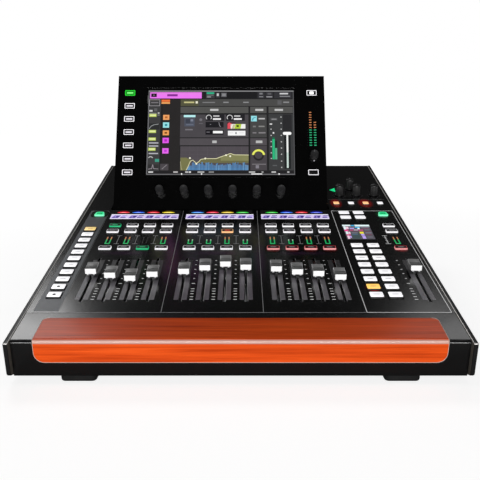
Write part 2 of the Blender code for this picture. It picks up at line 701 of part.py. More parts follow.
for x in XLR_IN_XS:
    for k in (90, 210, 330):
        a = math.radians(k)
        hollows.append(drum((x + 4.2 * math.cos(a), face - 8, XLR_IN_Z - 4.2 * math.sin(a)), back, 1.3, 1.3, 20, 6))
pins = []
for x in XLR_OUT_XS:
    for k in (90, 210, 330):
        a = math.radians(k)
        pins.append(drum((x + 4.2 * math.cos(a), face - 14, XLR_OUT_Z - 4.2 * math.sin(a)), back, 1.1, 1.1, 12.4, 6))
part(
    "io_board",
    "plastic_black",
    box(-140, 105, 545, 547, 30, 112),
    base_frame,
    steps=[("join", sockets), ("cut", hollows), ("join", pins)],
)

part(
    "power_inlet",
    "plastic_black",
    box(INLET_X - 14, INLET_X + 14, 548, REAR_OUT + 0.8, INLET_Z - 10.5, INLET_Z + 10.5),
    base_frame,
    steps=[
        ("join", [box(INLET_X - 25, INLET_X + 25, REAR_OUT + GAP, REAR_OUT + 1.9, INLET_Z - 13, INLET_Z + 13)]),
        ("cut", [box(INLET_X - 12, INLET_X + 12, 558, 590, INLET_Z - 8, INLET_Z + 8)]),
        (
            "join",
            [
                box(INLET_X - 8, INLET_X - 6, 557, 571, INLET_Z - 4, INLET_Z),
                box(INLET_X - 1, INLET_X + 1, 557, 572, INLET_Z - 1, INLET_Z + 3),
                box(INLET_X + 6, INLET_X + 8, 557, 571, INLET_Z - 4, INLET_Z),
            ],
        ),
    ],
)

rocker_y = REAR_OUT - 5.0
rocker = part(
    "power_switch",
    "plastic_black",
    plate(
        [
            (rocker_y - 5, SWITCH_Z - 4),
            (rocker_y + 3.4, SWITCH_Z - 9.4),
            (rocker_y + 5.6, SWITCH_Z - 9.2),
            (rocker_y + 3.6, SWITCH_Z),
            (rocker_y + 5.6, SWITCH_Z + 9.2),
            (rocker_y + 3.4, SWITCH_Z + 9.4),
            (rocker_y - 5, SWITCH_Z + 4),
        ],
        SWITCH_X - 6.4,
        SWITCH_X + 6.4,
        "YZ",
    ),
    base_frame,
    origin=(SWITCH_X, rocker_y, SWITCH_Z),
)
rocker.rotation_euler = (math.radians(-ROCKER_TILT), 0, 0)

# ---------------------------------------------------------------- fan
fan_back = REAR_IN - 0.5
fan_front = fan_back - FAN_DEEP
b = FAN_BOX / 2
part(
    "fan_frame",
    "plastic_black",
    box(FAN_X - b, FAN_X + b, fan_front, fan_back, FAN_Z - b, FAN_Z + b),
    base_frame,
    steps=[
        ("cut", [drum((FAN_X, fan_front - 5, FAN_Z), back, FAN_BORE, FAN_BORE, 40, 28)]),
        ("join", [box(FAN_X - FAN_BORE - 1, FAN_X + FAN_BORE + 1, fan_front, fan_front + 2, FAN_Z - 2, FAN_Z + 2)]),
        ("join", [drum((FAN_X, fan_front + 0.1, FAN_Z), back, 12, 12, 2.2, 20)]),
        ("join", [drum((FAN_X, fan_front + 1, FAN_Z), back, 2, 2, 7, 12)]),
    ],
)
blades = []
for i in range(7):
    turn = Matrix.Translation((FAN_X, 0, FAN_Z)) @ Matrix.Rotation(2 * math.pi * i / 7, 4, "Y")
    pitch = Matrix.Translation((0, fan_front + 8.7, 0)) @ Matrix.Rotation(math.radians(40), 4, "Z")
    blades.append(box(-0.6, 0.6, -4.6, 4.6, 11.0, 25.5, turn @ pitch))
part(
    "fan_rotor",
    "plastic_black",
    drum((FAN_X, fan_front + 2.9, FAN_Z), back, 12.5, 12.5, 10.5, 20),
    base_frame,
    origin=(FAN_X, fan_front + 8, FAN_Z),
    steps=[
        ("join", blades),
        ("cut", [drum((FAN_X, fan_front, FAN_Z), back, 2.4, 2.4, 9.0, 12)]),
    ],
)
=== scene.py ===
"""Looks for the compact mixing console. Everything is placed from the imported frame's joints and boxes."""

import json
import math
import random

import bmesh
import bpy
from mathutils import Matrix, Vector


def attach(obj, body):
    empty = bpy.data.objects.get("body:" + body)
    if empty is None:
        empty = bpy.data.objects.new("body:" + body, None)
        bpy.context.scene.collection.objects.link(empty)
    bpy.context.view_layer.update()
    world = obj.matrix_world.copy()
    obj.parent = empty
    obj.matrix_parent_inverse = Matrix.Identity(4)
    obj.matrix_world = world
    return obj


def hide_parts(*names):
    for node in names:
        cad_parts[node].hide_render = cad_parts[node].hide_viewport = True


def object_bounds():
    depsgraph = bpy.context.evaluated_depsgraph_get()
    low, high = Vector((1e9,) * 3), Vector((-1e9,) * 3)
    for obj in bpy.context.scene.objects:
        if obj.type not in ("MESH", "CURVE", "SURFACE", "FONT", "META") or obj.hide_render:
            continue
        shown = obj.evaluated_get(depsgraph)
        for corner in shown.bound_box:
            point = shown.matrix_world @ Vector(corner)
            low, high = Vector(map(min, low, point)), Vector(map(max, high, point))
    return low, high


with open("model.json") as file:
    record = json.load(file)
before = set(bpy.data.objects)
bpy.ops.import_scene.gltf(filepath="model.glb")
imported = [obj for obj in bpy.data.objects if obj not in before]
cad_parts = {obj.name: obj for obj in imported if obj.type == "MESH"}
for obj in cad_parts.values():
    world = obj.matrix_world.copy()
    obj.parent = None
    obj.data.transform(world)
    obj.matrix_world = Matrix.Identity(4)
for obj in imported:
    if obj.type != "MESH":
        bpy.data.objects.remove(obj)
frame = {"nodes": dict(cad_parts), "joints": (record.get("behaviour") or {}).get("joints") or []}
cad_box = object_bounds()
MM = 0.001

# ------------------------------------------------------------------ frames
joints = {j["name"]: j for j in frame["joints"]}
hinge = Vector(joints["lid_tilt"]["pos_m"])
axis_n = Vector(joints["keys_left_press"]["axis"]).normalized()
axis_t = Vector(joints["fader_01_slide"]["axis"]).normalized()
axis_m = Vector(joints["keys_lid_left_press"]["axis"]).normalized()
axis_x = Vector((1, 0, 0))
HINGE_T, HINGE_N, LID_X = 374.5, -7.5, -29.0


def basis(origin, x, y, z):
    return Matrix(((x.x, y.x, z.x, origin.x), (x.y, y.y, z.y, origin.y), (x.z, y.z, z.z, origin.z), (0, 0, 0, 1)))


surface_origin = Vector((0, hinge.y, hinge.z)) - axis_t * HINGE_T * MM - axis_n * HINGE_N * MM
SURF = basis(surface_origin, axis_x, axis_t, axis_n)
LID = basis(hinge, axis_x, axis_m.cross(axis_x), axis_m)
FRONT_Y = cad_box[1].y - 574.3 * MM
BASE = Matrix.Translation((0, FRONT_Y, 0))
SCALE = Matrix.Diagonal((MM, MM, MM, 1))
SIN, COS = axis_t.z, axis_t.y

# ------------------------------------------------------------------ camera, first
cam_data = bpy.data.cameras.new("camera")
cam = bpy.data.objects.new("camera", cam_data)
bpy.context.scene.collection.objects.link(cam)
cam_data.sensor_width = 36.0
cam_data.lens = 52.2
cam_data.shift_x = -0.00125
cam_data.shift_y = -0.0375
cam_data.clip_start, cam_data.clip_end = 0.01, 60
cam.location = (0, surface_origin.y - 0.6267, 0.2692)
cam.rotation_euler = (math.radians(80.0), 0, 0)
bpy.context.scene.camera = cam

# ------------------------------------------------------------------ materials


def lin(hexcode):
    """sRGB hex to linear RGB."""
    out = []
    for i in (1, 3, 5):
        c = int(hexcode[i : i + 2], 16) / 255
        out.append(c / 12.92 if c <= 0.04045 else ((c + 0.055) / 1.055) ** 2.4)
    return tuple(out)


def nodes_of(m):
    m.use_nodes = True
    return m.node_tree, m.node_tree.nodes, m.node_tree.links, m.node_tree.nodes["Principled BSDF"]


def surface_mat(name, a, b, rough, spread=0.05, metal=0.0, spec=0.5, coat=0.0, coat_rough=0.05, grain=900.0, bump=0.02, stretch=(1, 1, 1), emission=None, glow=0.0, ior=1.5):
    """A finish with a fine variation between two colours, uneven roughness and a grain."""
    m = bpy.data.materials.new(name)
    tree, nodes, links, shader = nodes_of(m)
    coord = nodes.new("ShaderNodeTexCoord")
    place = nodes.new("ShaderNodeMapping")
    place.inputs["Scale"].default_value = stretch
    links.new(coord.outputs["Object"], place.inputs["Vector"])
    broad = nodes.new("ShaderNodeTexNoise")
    broad.inputs["Scale"].default_value = grain / 14
    broad.inputs["Detail"].default_value = 4
    fine = nodes.new("ShaderNodeTexNoise")
    fine.inputs["Scale"].default_value = grain
    fine.inputs["Detail"].default_value = 3
    links.new(place.outputs["Vector"], broad.inputs["Vector"])
    links.new(place.outputs["Vector"], fine.inputs["Vector"])
    ramp = nodes.new("ShaderNodeValToRGB")
    ramp.color_ramp.elements[0].position, ramp.color_ramp.elements[1].position = 0.3, 0.7
    ramp.color_ramp.elements[0].color = (*a, 1)
    ramp.color_ramp.elements[1].color = (*b, 1)
    links.new(broad.outputs["Fac"], ramp.inputs["Fac"])
    links.new(ramp.outputs["Color"], shader.inputs["Base Color"])
    if emission is not None:
        glowramp = nodes.new("ShaderNodeValToRGB")
        glowramp.color_ramp.elements[0].position, glowramp.color_ramp.elements[1].position = 0.25, 0.75
        glowramp.color_ramp.elements[0].color = (*[c * 0.93 for c in emission], 1)
        glowramp.color_ramp.elements[1].color = (*emission, 1)
        links.new(broad.outputs["Fac"], glowramp.inputs["Fac"])
        links.new(glowramp.outputs["Color"], shader.inputs["Emission Color"])
        shader.inputs["Emission Strength"].default_value = glow
    mapr = nodes.new("ShaderNodeMapRange")
    mapr.inputs["From Min"].default_value, mapr.inputs["From Max"].default_value = 0.3, 0.7
    mapr.inputs["To Min"].default_value, mapr.inputs["To Max"].default_value = max(0.0, rough - spread), rough + spread
    links.new(fine.outputs["Fac"], mapr.inputs["Value"])
    links.new(mapr.outputs["Result"], shader.inputs["Roughness"])
    if bump:
        bn = nodes.new("ShaderNodeBump")
        bn.inputs["Strength"].default_value = bump
        bn.inputs["Distance"].default_value = 0.0002
        links.new(fine.outputs["Fac"], bn.inputs["Height"])
        links.new(bn.outputs["Normal"], shader.inputs["Normal"])
    shader.inputs["Metallic"].default_value = metal
    shader.inputs["Specular IOR Level"].default_value = spec
    shader.inputs["IOR"].default_value = ior
    shader.inputs["Coat Weight"].default_value = coat
    shader.inputs["Coat Roughness"].default_value = coat_rough
    return m


def grey(v, w=None):
    w = v * 1.25 if w is None else w
    return (v, v, v * 1.03), (w, w, w * 1.03)


MAT = {}
MAT["panel"] = surface_mat("panel_satin", *grey(0.0016, 0.0024), 0.19, 0.02, spec=0.5, grain=2600, bump=0.02)
MAT["strip"] = surface_mat("side_strip_satin", (0.075, 0.082, 0.094), (0.090, 0.098, 0.112), 0.36, 0.03, spec=0.35, grain=2600, bump=0.02)
MAT["cheek"] = surface_mat("cheek_satin", *grey(0.0045, 0.0065), 0.42, 0.04, spec=0.25, grain=2400, bump=0.03)
MAT["rail"] = surface_mat("rail_satin", *grey(0.0026, 0.0038), 0.24, 0.03, spec=0.5, grain=2400, bump=0.03)
# painted light: the cheeks' inner faces get a warm grey far paler than the black cheeks, so that they read lit
MAT["cheekin"] = surface_mat("cheek_inner_painted_light", (0.12, 0.108, 0.092), (0.15, 0.135, 0.115), 0.38, 0.04, spec=0.4, grain=2400, bump=0.03)
# painted highlight: a pale, faintly glowing metal finish for the cheeks' inner top chamfer and front top corner, where
# light catches the edges
MAT["edge"] = surface_mat("cheek_painted_edge_highlight", (0.62, 0.60, 0.58), (0.75, 0.73, 0.71), 0.34, 0.06, metal=0.6, grain=3000, bump=0.03, emission=(1, 0.97, 0.93), glow=0.16)
# the print colours below carry a faint glow of their own: painted light that makes the print read brighter
MAT["line"] = surface_mat("print_light", (0.62, 0.62, 0.63), (0.74, 0.74, 0.75), 0.45, 0.05, grain=3000, bump=0.02, emission=(1, 1, 1), glow=0.22)
MAT["line_mid"] = surface_mat("print_mid", (0.20, 0.20, 0.21), (0.26, 0.26, 0.27), 0.45, 0.05, grain=3000, bump=0.02, emission=(1, 1, 1), glow=0.05)
MAT["line_dim"] = surface_mat("print_dim", (0.10, 0.10, 0.105), (0.13, 0.13, 0.135), 0.45, 0.05, grain=3000, bump=0.02, emission=(1, 1, 1), glow=0.012)
MAT["tick"] = surface_mat("print_scale", (0.72, 0.72, 0.73), (0.82, 0.82, 0.83), 0.45, 0.05, grain=3000, bump=0.02, emission=(1, 1, 1), glow=0.22)
MAT["track"] = surface_mat("fader_track", (0.150, 0.142, 0.158), (0.185, 0.175, 0.195), 0.34, 0.05, grain=2600, bump=0.02)
# painted shade: a darker copy of the track grey, laid from just ahead of each cap to the slot's rear, where the cap
# shades the track
MAT["trackdim"] = surface_mat("fader_track_painted_shade", (0.040, 0.038, 0.042), (0.055, 0.052, 0.058), 0.34, 0.05, grain=2600, bump=0.02)
# painted light: a violet-tinted copy of the track grey for the middle bank, where violet light lies on the panel
MAT["trackwarm"] = surface_mat("fader_track_painted_violet_tint", (0.120, 0.105, 0.126), (0.150, 0.132, 0.156), 0.34, 0.05, grain=2600, bump=0.02)
# painted highlight: a pale thin line along one edge of every slot
MAT["track2"] = surface_mat("fader_track_painted_highlight", (0.40, 0.39, 0.40), (0.48, 0.47, 0.48), 0.30, 0.05, grain=2600, bump=0.02)
MAT["gloss"] = surface_mat("lid_gloss", *grey(0.0012, 0.0017), 0.09, 0.015, spec=0.4, grain=500, bump=0.0)
MAT["lidband"] = surface_mat("lid_lower_band", *grey(0.0030, 0.0040), 0.30, 0.03, spec=0.3, grain=1500, bump=0.01)
MAT["lidcase"] = surface_mat("lid_case_texture", *grey(0.010, 0.014), 0.46, 0.06, spec=0.4, grain=1900, bump=0.12)
MAT["case"] = surface_mat("powder_coat", *grey(0.012, 0.017), 0.48, 0.06, spec=0.4, grain=1800, bump=0.10)
MAT["inner"] = surface_mat("inner_matt", *grey(0.004, 0.006), 0.7, 0.05, spec=0.2, grain=1200, bump=0.02)
MAT["rubber"] = surface_mat("foot_rubber", *grey(0.0035, 0.006), 0.82, 0.06, spec=0.25, grain=1600, bump=0.10)
MAT["knob"] = surface_mat("knob_rubber", *grey(0.009, 0.013), 0.40, 0.06, spec=0.4, grain=2200, bump=0.05)
MAT["knobtop"] = surface_mat("knob_top", *grey(0.014, 0.020), 0.28, 0.04, spec=0.5, grain=2200, bump=0.02)
MAT["capgrey"] = surface_mat("cap_grey_plastic", (0.185, 0.185, 0.185), (0.215, 0.215, 0.215), 0.40, 0.05, grain=2600, bump=0.05)
# painted highlight: a paler grey for the cap's rounded edges and two small bars under its front
MAT["capedge"] = surface_mat("cap_painted_edge_highlight", (0.42, 0.42, 0.43), (0.50, 0.50, 0.51), 0.35, 0.05, grain=2600, bump=0.03)
# dark grey for the neck and the centre line, also laid on the cap's downward faces as painted shade
MAT["capdark"] = surface_mat("cap_dark_plastic_and_painted_shade", (0.030, 0.030, 0.031), (0.040, 0.040, 0.042), 0.42, 0.05, grain=2600, bump=0.05)
# near white for the cap's front face, with a faint glow that is painted light
MAT["capwhite"] = surface_mat("cap_front_white_painted_glow", (0.86, 0.86, 0.86), (0.92, 0.92, 0.92), 0.35, 0.05, grain=1800, bump=0.02, emission=(1, 1, 1), glow=0.10)
MAT["stem"] = surface_mat("fader_stem_steel", (0.42, 0.42, 0.43), (0.55, 0.55, 0.56), 0.32, 0.06, metal=1.0, grain=2600, bump=0.03)
MAT["steel"] = surface_mat("zinc_steel", (0.50, 0.50, 0.51), (0.62, 0.62, 0.63), 0.34, 0.08, metal=1.0, grain=1500, bump=0.04, stretch=(1, 1, 6))
MAT["nickel"] = surface_mat("nickel", (0.60, 0.59, 0.57), (0.70, 0.69, 0.66), 0.20, 0.05, metal=1.0, grain=2200, bump=0.02)
MAT["gold"] = surface_mat("gold_contact", (0.75, 0.50, 0.16), (0.85, 0.60, 0.22), 0.22, 0.05, metal=1.0, grain=2600, bump=0.01)
MAT["screw"] = surface_mat("black_screw", *grey(0.02, 0.035), 0.30, 0.06, metal=0.85, grain=2600, bump=0.03)
MAT["plastic"] = surface_mat("moulded_black", *grey(0.009, 0.013), 0.42, 0.06, spec=0.4, grain=1800, bump=0.06)
MAT["board"] = surface_mat("solder_mask", (0.010, 0.075, 0.030), (0.016, 0.105, 0.042), 0.38, 0.08, grain=700, bump=0.03)
MAT["rocker"] = surface_mat("rocker_black", *grey(0.012, 0.018), 0.30, 0.05, grain=1800, bump=0.03)
MAT["keyblack"] = surface_mat("key_black_top", *grey(0.0022, 0.0032), 0.42, 0.04, spec=0.22, grain=2200, bump=0.02)
MAT["keyside"] = surface_mat("key_dark_side", *grey(0.0045, 0.006), 0.40, 0.05, spec=0.3, grain=2200, bump=0.02)


def glow_mat(name, hexcode, glow, base=0.6, rough=0.35):
    c = lin(hexcode)
    b = tuple(min(1.0, x * base) for x in c)
    return surface_mat(name, b, tuple(x * 1.08 for x in b), rough, 0.04, grain=1500, bump=0.01, emission=c, glow=glow)


GLOW = {
    "white": glow_mat("light_white", "#FFFFFF", 0.9),
    "keytop": glow_mat("light_keytop", "#FBFAFD", 0.84),
    "frame": glow_mat("light_frame", "#F8F6FA", 0.88),
    "label": glow_mat("light_label", "#CFCBD4", 0.11),
    "labeldim": glow_mat("light_label_dim", "#7E7A88", 0.35),
    "lidlabel": glow_mat("light_lid_label", "#E4E0E8", 0.62),
    "leafpale": glow_mat("light_leaf_pale", "#7CF07C", 0.8),
    "lidframe": glow_mat("light_lid_frame", "#F4F2F6", 0.80),
    "green": glow_mat("light_green", "#14E08A", 0.85),
    "leafrim": glow_mat("light_leaf_rim", "#7CEFBC", 0.85),
    "greenframe": glow_mat("light_green_frame", "#1FB878", 0.75),
    "leafgreen": glow_mat("light_leaf_green", "#22D42E", 0.85),
    "leafdark": glow_mat("light_leaf_dark", "#0C7A18", 0.8),
    "meter": glow_mat("light_meter_green", "#12A85C", 0.8),
    "meterhot": glow_mat("light_meter_hot", "#D08858", 0.55),
    "meterdim": glow_mat("light_meter_dim", "#090E0B", 0.4),
    "ladder": glow_mat("light_ladder_green", "#2AA872", 0.75),
    "ladderhot": glow_mat("light_ladder_hot", "#C07C50", 0.6),
    "orange": glow_mat("light_orange", "#FFC48A", 0.95),
    "amber": glow_mat("light_amber", "#FFCC66", 0.95),
    "yellow": glow_mat("light_yellow", "#FFDC8C", 0.75),
    "red": glow_mat("light_red", "#F04030", 0.9),
    "redframe": glow_mat("light_red_frame", "#D83840", 0.85),
    "redlight": glow_mat("light_red_front", "#F0A0A0", 0.75),
    "strip": glow_mat("light_strip_white", "#D9CCF8", 0.80),
    "stripdark": glow_mat("light_strip_dark", "#463A86", 0.8),
    "stripmid": glow_mat("light_strip_mid", "#A08CDC", 0.80),
    "stripwhite": glow_mat("light_strip_bright", "#F8F4FF", 0.85),
}


def halo_mat(name, hexcode, strength, power=1.6, shift=0.0):
    """The panel's finish, with a soft light spilled on it that fades out to the plate's rim."""
    m = surface_mat(name, *grey(0.0016, 0.0024), 0.19, 0.02, spec=0.5, grain=2600, bump=0.02)
    tree = m.node_tree
    nodes, links = tree.nodes, tree.links
    shader = next(n for n in nodes if n.type == "BSDF_PRINCIPLED")
    coord = nodes.new("ShaderNodeTexCoord")
    off = nodes.new("ShaderNodeVectorMath")
    off.operation = "SUBTRACT"
    off.inputs[1].default_value = (0.5, 0.5 + shift, 0.5)
    links.new(coord.outputs["Generated"], off.inputs[0])
    flat = nodes.new("ShaderNodeVectorMath")
    flat.operation = "MULTIPLY"
    flat.inputs[1].default_value = (2.0, 2.0, 0.0)
    links.new(off.outputs["Vector"], flat.inputs[0])
    far = nodes.new("ShaderNodeVectorMath")
    far.operation = "LENGTH"
    links.new(flat.outputs["Vector"], far.inputs[0])
    fade = nodes.new("ShaderNodeMapRange")
    fade.interpolation_type = "SMOOTHSTEP"
    for key, value in (("From Min", 0.0), ("From Max", 1.0 - abs(shift) * 1.2), ("To Min", 1.0), ("To Max", 0.0)):
        fade.inputs[key].default_value = value
    links.new(far.outputs["Value"], fade.inputs["Value"])
    curve = nodes.new("ShaderNodeMath")
    curve.operation = "POWER"
    curve.inputs[1].default_value = power
    links.new(fade.outputs["Result"], curve.inputs[0])
    scale = nodes.new("ShaderNodeMath")
    scale.operation = "MULTIPLY"
    scale.inputs[1].default_value = strength
    links.new(curve.outputs["Value"], scale.inputs[0])
    shader.inputs["Emission Color"].default_value = (*lin(hexcode), 1)
    links.new(scale.outputs["Value"], shader.inputs["Emission Strength"])
    return m


def screen_mat(name, hexcode, strength=1.0):
    c = lin(hexcode)
    return surface_mat(name, (0.002, 0.002, 0.002), (0.003, 0.003, 0.003), 0.16, 0.02, spec=0.3, grain=1200, bump=0.0, emission=c, glow=strength)


def led_mat(name, hexcode, strength):
    """A light bar, bright in its middle and fading to its ends."""
    m = bpy.data.materials.new(name)
    tree, nodes, links, shader = nodes_of(m)
    coord = nodes.new("ShaderNodeTexCoord")
    split = nodes.new("ShaderNodeSeparateXYZ")
    links.new(coord.outputs["Generated"], split.inputs["Vector"])
    ramp = nodes.new("ShaderNodeValToRGB")
    c = lin(hexcode)
    pale = tuple(0.80 * x + 0.20 for x in c)
    e = ramp.color_ramp.elements
    e[0].position, e[0].color = 0.0, (*[x * 0.10 for x in c], 1)
    e[1].position, e[1].color = 1.0, (*[x * 0.10 for x in c], 1)
    for pos, col in ((0.22, c), (0.42, pale if min(c) > 0.02 else tuple(0.8 * x + 0.2 for x in c)), (0.5, pale), (0.58, pale if min(c) > 0.02 else tuple(0.8 * x + 0.2 for x in c)), (0.78, c)):
        el = e.new(pos)
        el.color = (*col, 1)
    links.new(split.outputs["X"], ramp.inputs["Fac"])
    links.new(ramp.outputs["Color"], shader.inputs["Emission Color"])
    shader.inputs["Emission Strength"].default_value = strength
    shader.inputs["Base Color"].default_value = (*[x * 0.4 for x in c], 1)
    shader.inputs["Roughness"].default_value = 0.3
    return m


def wood_mat():
    """Glossy orange-brown lacquer over wood with long horizontal streaks."""
    m = bpy.data.materials.new("lacquered_wood")
    tree, nodes, links, shader = nodes_of(m)
    coord = nodes.new("ShaderNodeTexCoord")
    place = nodes.new("ShaderNodeMapping")
    place.inputs["Scale"].default_value = (1.6, 55, 55)
    links.new(coord.outputs["Object"], place.inputs["Vector"])
    streak = nodes.new("ShaderNodeTexNoise")
    streak.inputs["Scale"].default_value = 3.2
    streak.inputs["Detail"].default_value = 7
    streak.inputs["Roughness"].default_value = 0.62
    streak.inputs["Distortion"].default_value = 0.35
    links.new(place.outputs["Vector"], streak.inputs["Vector"])
    place2 = nodes.new("ShaderNodeMapping")
    place2.inputs["Scale"].default_value = (6, 420, 420)
    links.new(coord.outputs["Object"], place2.inputs["Vector"])
    pore = nodes.new("ShaderNodeTexNoise")
    pore.inputs["Scale"].default_value = 2.5
    pore.inputs["Detail"].default_value = 5
    links.new(place2.outputs["Vector"], pore.inputs["Vector"])
    ramp = nodes.new("ShaderNodeValToRGB")
    e = ramp.color_ramp.elements
    e[0].position, e[0].color = 0.28, (*lin("#B63A0C"), 1)
    e[1].position, e[1].color = 0.74, (*lin("#F25F22"), 1)
    mid = e.new(0.42)
    mid.color = (*lin("#D44A16"), 1)
    mid = e.new(0.56)
    mid.color = (*lin("#E4541A"), 1)
    links.new(streak.outputs["Fac"], ramp.inputs["Fac"])
    dark = nodes.new("ShaderNodeValToRGB")
    dark.color_ramp.elements[0].position, dark.color_ramp.elements[0].color = 0.34, (0.62, 0.50, 0.42, 1)
    dark.color_ramp.elements[1].position, dark.color_ramp.elements[1].color = 0.52, (1, 1, 1, 1)
    links.new(pore.outputs["Fac"], dark.inputs["Fac"])
    mix = nodes.new("ShaderNodeMix")
    mix.data_type = "RGBA"
    mix.blend_type = "MULTIPLY"
    mix.inputs["Factor"].default_value = 0.55
    links.new(ramp.outputs["Color"], mix.inputs["A"])
    links.new(dark.outputs["Color"], mix.inputs["B"])
    links.new(mix.outputs["Result"], shader.inputs["Base Color"])
    bn = nodes.new("ShaderNodeBump")
    bn.inputs["Strength"].default_value = 0.04
    bn.inputs["Distance"].default_value = 0.0002
    links.new(pore.outputs["Fac"], bn.inputs["Height"])
    links.new(bn.outputs["Normal"], shader.inputs["Normal"])
    shader.inputs["Roughness"].default_value = 0.34
    shader.inputs["Specular IOR Level"].default_value = 0.10
    shader.inputs["Coat Weight"].default_value = 0.09
    shader.inputs["Coat Roughness"].default_value = 0.16
    return m


MAT["wood"] = wood_mat()
# painted highlight: a pale pinkish wood tone for the armrest's front rounding, where the edge catches light
MAT["woodband"] = surface_mat("wood_painted_edge_highlight", (0.50, 0.25, 0.19), (0.60, 0.33, 0.27), 0.22, 0.05, spec=0.4, coat=0.5, coat_rough=0.15, grain=500, bump=0.01, stretch=(0.05, 1, 1))

# ------------------------------------------------------------------ mesh tools


def rrect(cx, cy, w, l, r, n=3):
    """A rounded rectangle, anticlockwise."""
    r = max(min(r, w / 2 - 1e-4, l / 2 - 1e-4), 1e-4)
    pts = []
    for sx, sy, a0 in ((1, 1, 0), (-1, 1, 90), (-1, -1, 180), (1, -1, 270)):
        ox, oy = cx + sx * (w / 2 - r), cy + sy * (l / 2 - r)
        for k in range(n + 1):
            a = math.radians(a0 + 90 * k / n)
            pts.append((ox + r * math.cos(a), oy + r * math.sin(a)))
    return pts


def ring(cx, cy, r, n=24, start=0.0):
    return [(cx + r * math.cos(start + 2 * math.pi * k / n), cy + r * math.sin(start + 2 * math.pi * k / n)) for k in range(n)]


class Piece:
    """One mesh in one layout frame, in millimetres, with numbered materials."""

    def __init__(self, name, place, mats):
        self.name, self.place, self.mats = name, place, mats
        self.bm = bmesh.new()

    def loft(self, loops, mat=0, caps=(True, True), cap_mats=None, closed=True, seg_mats=None):
        """Skin over loops of (x, y, z), each anticlockwise seen from the end it rises to."""
        rows = [[self.bm.verts.new(p) for p in loop] for loop in loops]
        n = len(rows[0])
        for seg, (a, b) in enumerate(zip(rows, rows[1:])):
            for i in range(n if closed else n - 1):
                j = (i + 1) % n
                f = self.bm.faces.new((a[i], a[j], b[j], b[i]))
                f.material_index = seg_mats[seg] if seg_mats else mat
        first, last = cap_mats or (mat, mat)
        if caps[0]:
            f = self.bm.faces.new(list(reversed(rows[0])))
            f.material_index = first
        if caps[1]:
            f = self.bm.faces.new(rows[-1])
            f.material_index = last
        return rows

    def slab(self, cx, cy, w, l, z0, z1, r=0.8, top=0.3, mat=0, top_mat=None, n=3, segs=2, turn=None):
        """A rounded plate or key with a rounded top edge."""
        loops = [[(x, y, z0) for x, y in rrect(cx, cy, w, l, r, n)]]
        if top > 0:
            for k in range(segs + 1):
                a = math.pi / 2 * k / segs
                inset, z = top * (1 - math.cos(a)), z1 - top + top * math.sin(a)
                loops.append([(x, y, z) for x, y in rrect(cx, cy, w - 2 * inset, l - 2 * inset, max(r - inset, 0.05), n)])
        else:
            loops.append([(x, y, z1) for x, y in rrect(cx, cy, w, l, r, n)])
        if turn:
            a = math.radians(turn)
            loops = [[(cx + (x - cx) * math.cos(a) - (y - cy) * math.sin(a), cy + (x - cx) * math.sin(a) + (y - cy) * math.cos(a), z) for x, y, z in lp] for lp in loops]
        self.loft(loops, mat, cap_mats=(mat, mat if top_mat is None else top_mat))

    def box(self, x0, x1, y0, y1, z0, z1, mat=0):
        pts = [(x0, y0), (x1, y0), (x1, y1), (x0, y1)]
        self.loft([[(x, y, z0) for x, y in pts], [(x, y, z1) for x, y in pts]], mat)

    def poly(self, pts, z0, z1, mat=0):
        area = sum(pts[i - 1][0] * pts[i][1] - pts[i][0] * pts[i - 1][1] for i in range(len(pts)))
        pts = pts if area > 0 else list(reversed(pts))
        self.loft([[(x, y, z0) for x, y in pts], [(x, y, z1) for x, y in pts]], mat)

    def frame(self, cx, cy, w, l, z0, z1, t, r=0.8, mat=0, n=3):
        """A rounded rectangular ring, t wide."""
        outer, inner = rrect(cx, cy, w, l, r, n), rrect(cx, cy, w - 2 * t, l - 2 * t, max(r - t, 0.05), n)
        rows = [[self.bm.verts.new((x, y, z)) for x, y in pts] for pts, z in ((outer, z0), (outer, z1), (inner, z1), (inner, z0))]
        m = len(outer)
        for a, b in zip(rows, rows[1:] + rows[:1]):
            for i in range(m):
                j = (i + 1) % m
                self.bm.faces.new((a[i], a[j], b[j], b[i])).material_index = mat

    def lathe(self, cx, cy, profile, n=32, mat=0, mats=None, wave=None, axis="z", start=0.0):
        """A turned shape about an axis through (cx, cy): profile of (radius, height) from its bottom to its top."""
        loops = []
        for r, z in profile:
            pts = []
            for k in range(n):
                a = start + 2 * math.pi * k / n
                rr = r * (1 + (wave(k, z) if wave else 0))
                pts.append((cx + rr * math.cos(a), cy + rr * math.sin(a), z))
            loops.append(pts)
        rows = [[self.bm.verts.new(p) for p in loop] for loop in loops]
        for s, (a, b) in enumerate(zip(rows, rows[1:])):
            for i in range(n):
                j = (i + 1) % n
                self.bm.faces.new((a[i], a[j], b[j], b[i])).material_index = mats[s] if mats else mat
        self.bm.faces.new(list(reversed(rows[0]))).material_index = mats[0] if mats else mat
        self.bm.faces.new(rows[-1]).material_index = mats[-1] if mats else mat

    def done(self, body, replaces=(), slot=None, smooth=35.0, bevel=0.0, hide=False):
        mesh = bpy.data.meshes.new(self.name)
        self.bm.transform(self.place @ SCALE)
        self.bm.normal_update()
        self.bm.to_mesh(mesh)
        self.bm.free()
        obj = bpy.data.objects.new(self.name, mesh)
        bpy.context.scene.collection.objects.link(obj)
        for m in self.mats:
            mesh.materials.append(m)
        if bevel:
            b = obj.modifiers.new("edges", "BEVEL")
            b.width, b.segments, b.limit_method, b.angle_limit = bevel * MM, 2, "ANGLE", math.radians(32)
        if smooth:
            mesh.shade_smooth()
            mesh.set_sharp_from_angle(angle=math.radians(smooth))
        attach(obj, body)
        if replaces:
            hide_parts(*replaces)
        return obj


